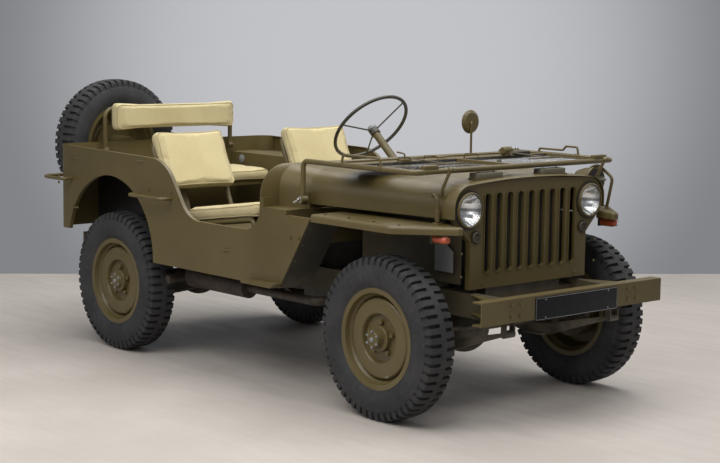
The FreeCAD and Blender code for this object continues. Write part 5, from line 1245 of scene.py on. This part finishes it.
def build_gear_levers():
    levers, knobs, boots = Shape(), Shape(), Shape()
    # station, side, height and forward lean of each lever
    for station, y, tall, lean in ((-0.930, 0.060, 0.330, 0.050), (-0.970, -0.010, 0.210, 0.030),
                                   (-0.970, -0.050, 0.210, 0.030)):
        foot = Vector((ahead(station), y, FLOOR_TOP))
        top = foot + Vector((lean, 0, tall))
        levers.sweep(rounded([foot, foot + Z * 0.07, top], 0.05), 0.0065, 10)
        knobs.lathe([(0, -0.020), (0.012, -0.017), (0.019, -0.006), (0.019, 0.006), (0.012, 0.017),
                     (0, 0.020)], top, Z, 20)
        boots.lathe([(0, 0), (0.040, 0), (0.034, 0.012), (0.028, 0.018), (0.024, 0.034), (0.012, 0.046),
                     (0, 0.046)], foot, Z, 24)
    levers.piece("gear_levers", CHASSIS_AND_STRUT_SHADE, slot="chassis_paint")
    knobs.piece("gear_knobs", SEAL_AND_RING_SHADE, slot="chassis_paint")
    boots.piece("gear_boots", SEAL_AND_RING_SHADE, slot="chassis_paint")


def build_pedals():
    pads, x = Shape(), ahead(-0.750)
    low = FLOOR_TOP + 0.090
    for y in (0.440, 0.338):
        pads.block((x, y - 0.028, low), (x + 0.008, y + 0.028, low + 0.060), 0.003)
        for rib in range(4):
            z = low + 0.009 + rib * 0.013
            pads.block((x - 0.002, y - 0.024, z), (x + 0.001, y + 0.024, z + 0.005), 0.001)
        pads.sweep([(x + 0.006, y, low + 0.030), (x + 0.040, y, low - 0.020),
                    (x + 0.050, y, FLOOR_TOP + 0.001)], 0.007, 10)
    pads.piece("pedals", CHASSIS_AND_STRUT_SHADE, slot="chassis_paint")


def build_dash():
    """Five round gauges, switches and blank plates on the dash."""
    x = corners("cowl")[0].x + 0.001
    rims, dials, hands, plates = Shape(), Shape(), Shape(), Shape()
    speedometer = (0.0, 0.955, 0.042)
    small = [(y, z, 0.027) for y in (0.088, -0.088) for z in (0.985, 0.925)]
    for y, z, radius in (speedometer, *small):
        place, face = Vector((x, y, z)), radius - 0.004
        rims.lathe([(face, 0), (radius, 0), (radius, 0.006), (radius - 0.002, 0.009), (face, 0.007),
                    (face, 0)], place, -X, 32)
        dials.lathe(disc(face, 0, 0.003), place, -X, 32)
        hands.block((x - 0.0045, y - 0.0012, z - 0.004), (x - 0.0032, y + 0.0012, z + radius * 0.7), 0.0002)
        for tick in range(11):
            angle = math.radians(-120 + 24 * tick)
            out = Vector((0, math.sin(angle), math.cos(angle))) * radius
            hands.sweep([place + out * share - X * 0.0034 for share in (0.70, 0.82)], 0.0007, 5)
    switch = [(0, 0), (0.010, 0), (0.010, 0.004), (0.005, 0.006), (0.005, 0.014), (0.008, 0.018),
              (0.006, 0.022), (0, 0.023)]
    for y in (0.165, 0.200, 0.235, -0.165):
        rims.lathe(switch, (x, y, 0.900), -X, 20)
    for y in (-0.52, -0.42, -0.32):
        plates.block((x - 0.0025, y - 0.040, 0.935), (x, y + 0.040, 0.985), 0.0008)
    for shape, name, material in ((rims, "gauge_rims", BLACK), (dials, "gauge_dials", DIAL),
                                  (hands, "gauge_hands", STEEL), (plates, "dash_plates", BRASS)):
        shape.piece(name, material, slot="plate_black")


def build_mirror_glass():
    low, high = corners("mirror")
    middle = Vector((low.x, (low.y + high.y) / 2, high.z - (high.y - low.y) / 2))
    face = Shape().lathe(disc(0.054, 0, 0.0012), middle + X * 0.0002, -X, 40)
    face.piece("mirror_glass", CHROME, slot="lamp_glass")


def build_steering_wheel():
    """The CAD wheel's own mesh, turned so that its spokes lie right, and the horn button on its hub."""
    tilt = math.radians(COLUMN_TILT)
    axis = Vector((-math.cos(tilt), 0, math.sin(tilt)))
    wheel = bmesh.new()
    wheel.from_mesh(frame["nodes"]["steering_wheel"].data)
    turn = Matrix.Rotation(SPOKE_TURN, 3, axis)
    bmesh.ops.rotate(wheel, verts=wheel.verts[:], cent=WHEEL_CENTRE, matrix=turn)
    reach = [v.co - WHEEL_CENTRE for v in wheel.verts]
    hub = max(r.dot(axis) for r in reach if (r - axis * r.dot(axis)).length < 0.03)
    rim = Shape().take(wheel)
    rim.piece("steering_rim", WHEEL_RIM, "steering_wheel", "plate_black", ["steering_wheel"])
    cap = Shape().lathe([(0, 0), (0.026, 0), (0.026, 0.012), (0.021, 0.021), (0.010, 0.026), (0, 0.027)],
                        WHEEL_CENTRE + axis * (hub - 0.001), axis, 32)
    cap.piece("horn_button", GREY_STEEL, "steering_wheel", "plate_black")


# ---------------------------------------------------------------- fasteners and small fittings

PLATE_SPAN = (-0.261, 0.275)    # right and left edge of the plate

def build_number_plate():
    """The blank plate, as wide as the real one, with a thin raised border and four rivets."""
    low, high = corners("number_plate")
    low.y, high.y = PLATE_SPAN
    plate = Shape().block(low, high, 0.0008)
    plate.piece("blank_plate", BLACK, "car_body", "plate_black", ["number_plate"])
    inset = 0.004
    z0, z1, y0, y1 = low.z + inset, high.z - inset, low.y + inset, high.y - inset
    middle = (y0 + y1) / 2
    route = [(middle, z0), (y1, z0), (y1, z1), (y0, z1), (y0, z0), (middle - 0.001, z0)]
    border = Shape().sweep(rounded([(high.x, y, z) for y, z in route], 0.006), 0.0011, 6)
    for y in (y0 + 0.060, y1 - 0.060):
        for z in (z0 + 0.008, z1 - 0.008):
            border.dome((high.x - 0.0002, y, z), X, 0.004, 0.002)
    border.piece("plate_border", GREY_STEEL, slot="plate_black")


def build_fasteners():
    """Bolts where panels, bumper, fenders and handles are held."""
    heads, dark = Shape(), Shape()
    bumper, grille = corners("front_bumper")[1].x - 0.003, corners("grille_panel")[1].x - 0.001
    low, high = corners("grab_handles")
    for side in SIDES:
        out = Y * side
        for y in (0.350, 0.405):
            for z in (0.505, 0.552):
                heads.hexagon((bumper, y * side, z), X, 0.016, 0.008)
        for x in (-0.36, -0.20, -0.04, 0.12):
            heads.hexagon((ahead(x), 0.672 * side, FENDER_TOP), Z, 0.011, 0.005)
        for x, z in ((-0.49, 0.753), (-0.55, 0.747)):
            heads.hexagon((ahead(x), BODY_HALF * side, z), out, 0.012, 0.006)
        for z in (0.640, 0.720, 0.800):    # up the slanted strut behind the front wheel
            dark.dome((ahead(-0.405) - (0.846 - z) * 0.63, (BODY_HALF - 0.018) * side, z), X, 0.007, 0.005)
        for x in (low.x + 0.090, high.x - 0.010, high.x - 0.200):
            for z in (low.z + 0.008, high.z - 0.008):
                heads.hexagon((x, BODY_HALF * side, z), out, 0.011, 0.005)
        for y, z in ((0.432, 0.640), (0.432, 0.740), (0.300, 0.600)):
            heads.dome((grille, y * side, z), X, 0.006, 0.004)
    heads.piece("body_bolts", OLIVE)
    dark.piece("apron_bolts", OLIVE_DARK, slot="chassis_paint")


def build_side_fittings():
    """Footman loops for the top's straps, and a lock on each tool box lid."""
    loops, locks = Shape(), Shape()
    for side in SIDES:
        y, out = BODY_HALF * side, Y * side
        for x, z in ((-0.62, 1.010), (-1.25, 0.985), (-1.25, 0.720), (0.10, 0.640)):
            bow = ((-0.024, 0), (-0.018, 0.012), (0.018, 0.012), (0.024, 0))
            loops.sweep(rounded([(x + dx, y + dy * side, z) for dx, dy in bow], 0.008), 0.0028, 8)
            for end in (-0.030, 0.030):
                loops.dome((x + end, y - 0.0005 * side, z), out, 0.006, 0.003)
        locks.lathe([(0, 0), (0.024, 0), (0.024, 0.004), (0.016, 0.007), (0.006, 0.008), (0.006, 0.012),
                     (0, 0.012)], (ahead(-2.440), 0.455 * side, 0.925), -out, 28)
    loops.piece("footman_loops", OLIVE)
    locks.piece("tool_box_locks", GREY_STEEL)


def build_wheel_details():
    """Valve stems and hub flanges with their bolts."""
    for place in ("front_left", "front_right", "rear_left", "rear_right"):
        body = place + "_wheel"
        low, high = corners("wheel_" + place)
        side = 1 if high.y > 0 else -1
        middle, out, tip = (low + high) / 2, Y * side, max(high.y, -low.y)

        def rim_point(turn, reach, inward):
            """A point at an angle and a radius, some way in from the hub's tip."""
            angle = math.radians(turn)
            return (middle.x + math.cos(angle) * reach, (tip - inward) * side,
                    middle.z + math.sin(angle) * reach)

        stem = Shape().lathe([(0, 0), (0.0045, 0), (0.0045, 0.018), (0.0035, 0.019), (0.0035, 0.028),
                              (0, 0.0285)], rim_point(-68, 0.172, 0.052), out, 12)
        stem.piece("valve_" + body, STEEL, body)
        bolts = Shape()
        for number in range(6):
            bolts.hexagon(rim_point(60 * number + 30, 0.034, 0.001), out, 0.010, 0.005)
        bolts.lathe([(0, 0), (0.012, 0), (0.011, 0.006), (0.006, 0.009), (0, 0.0095)], rim_point(0, 0, 0.001),
                    out, 20)
        bolts.piece("hub_bolts_" + body, GREY_STEEL, body)


build_stage()
dress_nodes()
build_tyres()
build_seats()
build_fenders()
lamp_pair("headlamps", 0.022, headlamp_parts)
lamp_pair("marker_lamps", 0.014, marker_lamp_parts)
build_blackout_lamp()
build_indicators()
build_tail_lamps()
build_panes()
build_wipers()
build_latches()
build_windshield_panel()
build_wing_nuts()
build_hood_rests()
build_hood_catches()
build_gear_levers()
build_pedals()
build_dash()
build_mirror_glass()
build_steering_wheel()
build_number_plate()
build_fasteners()
build_side_fittings()
build_wheel_details()
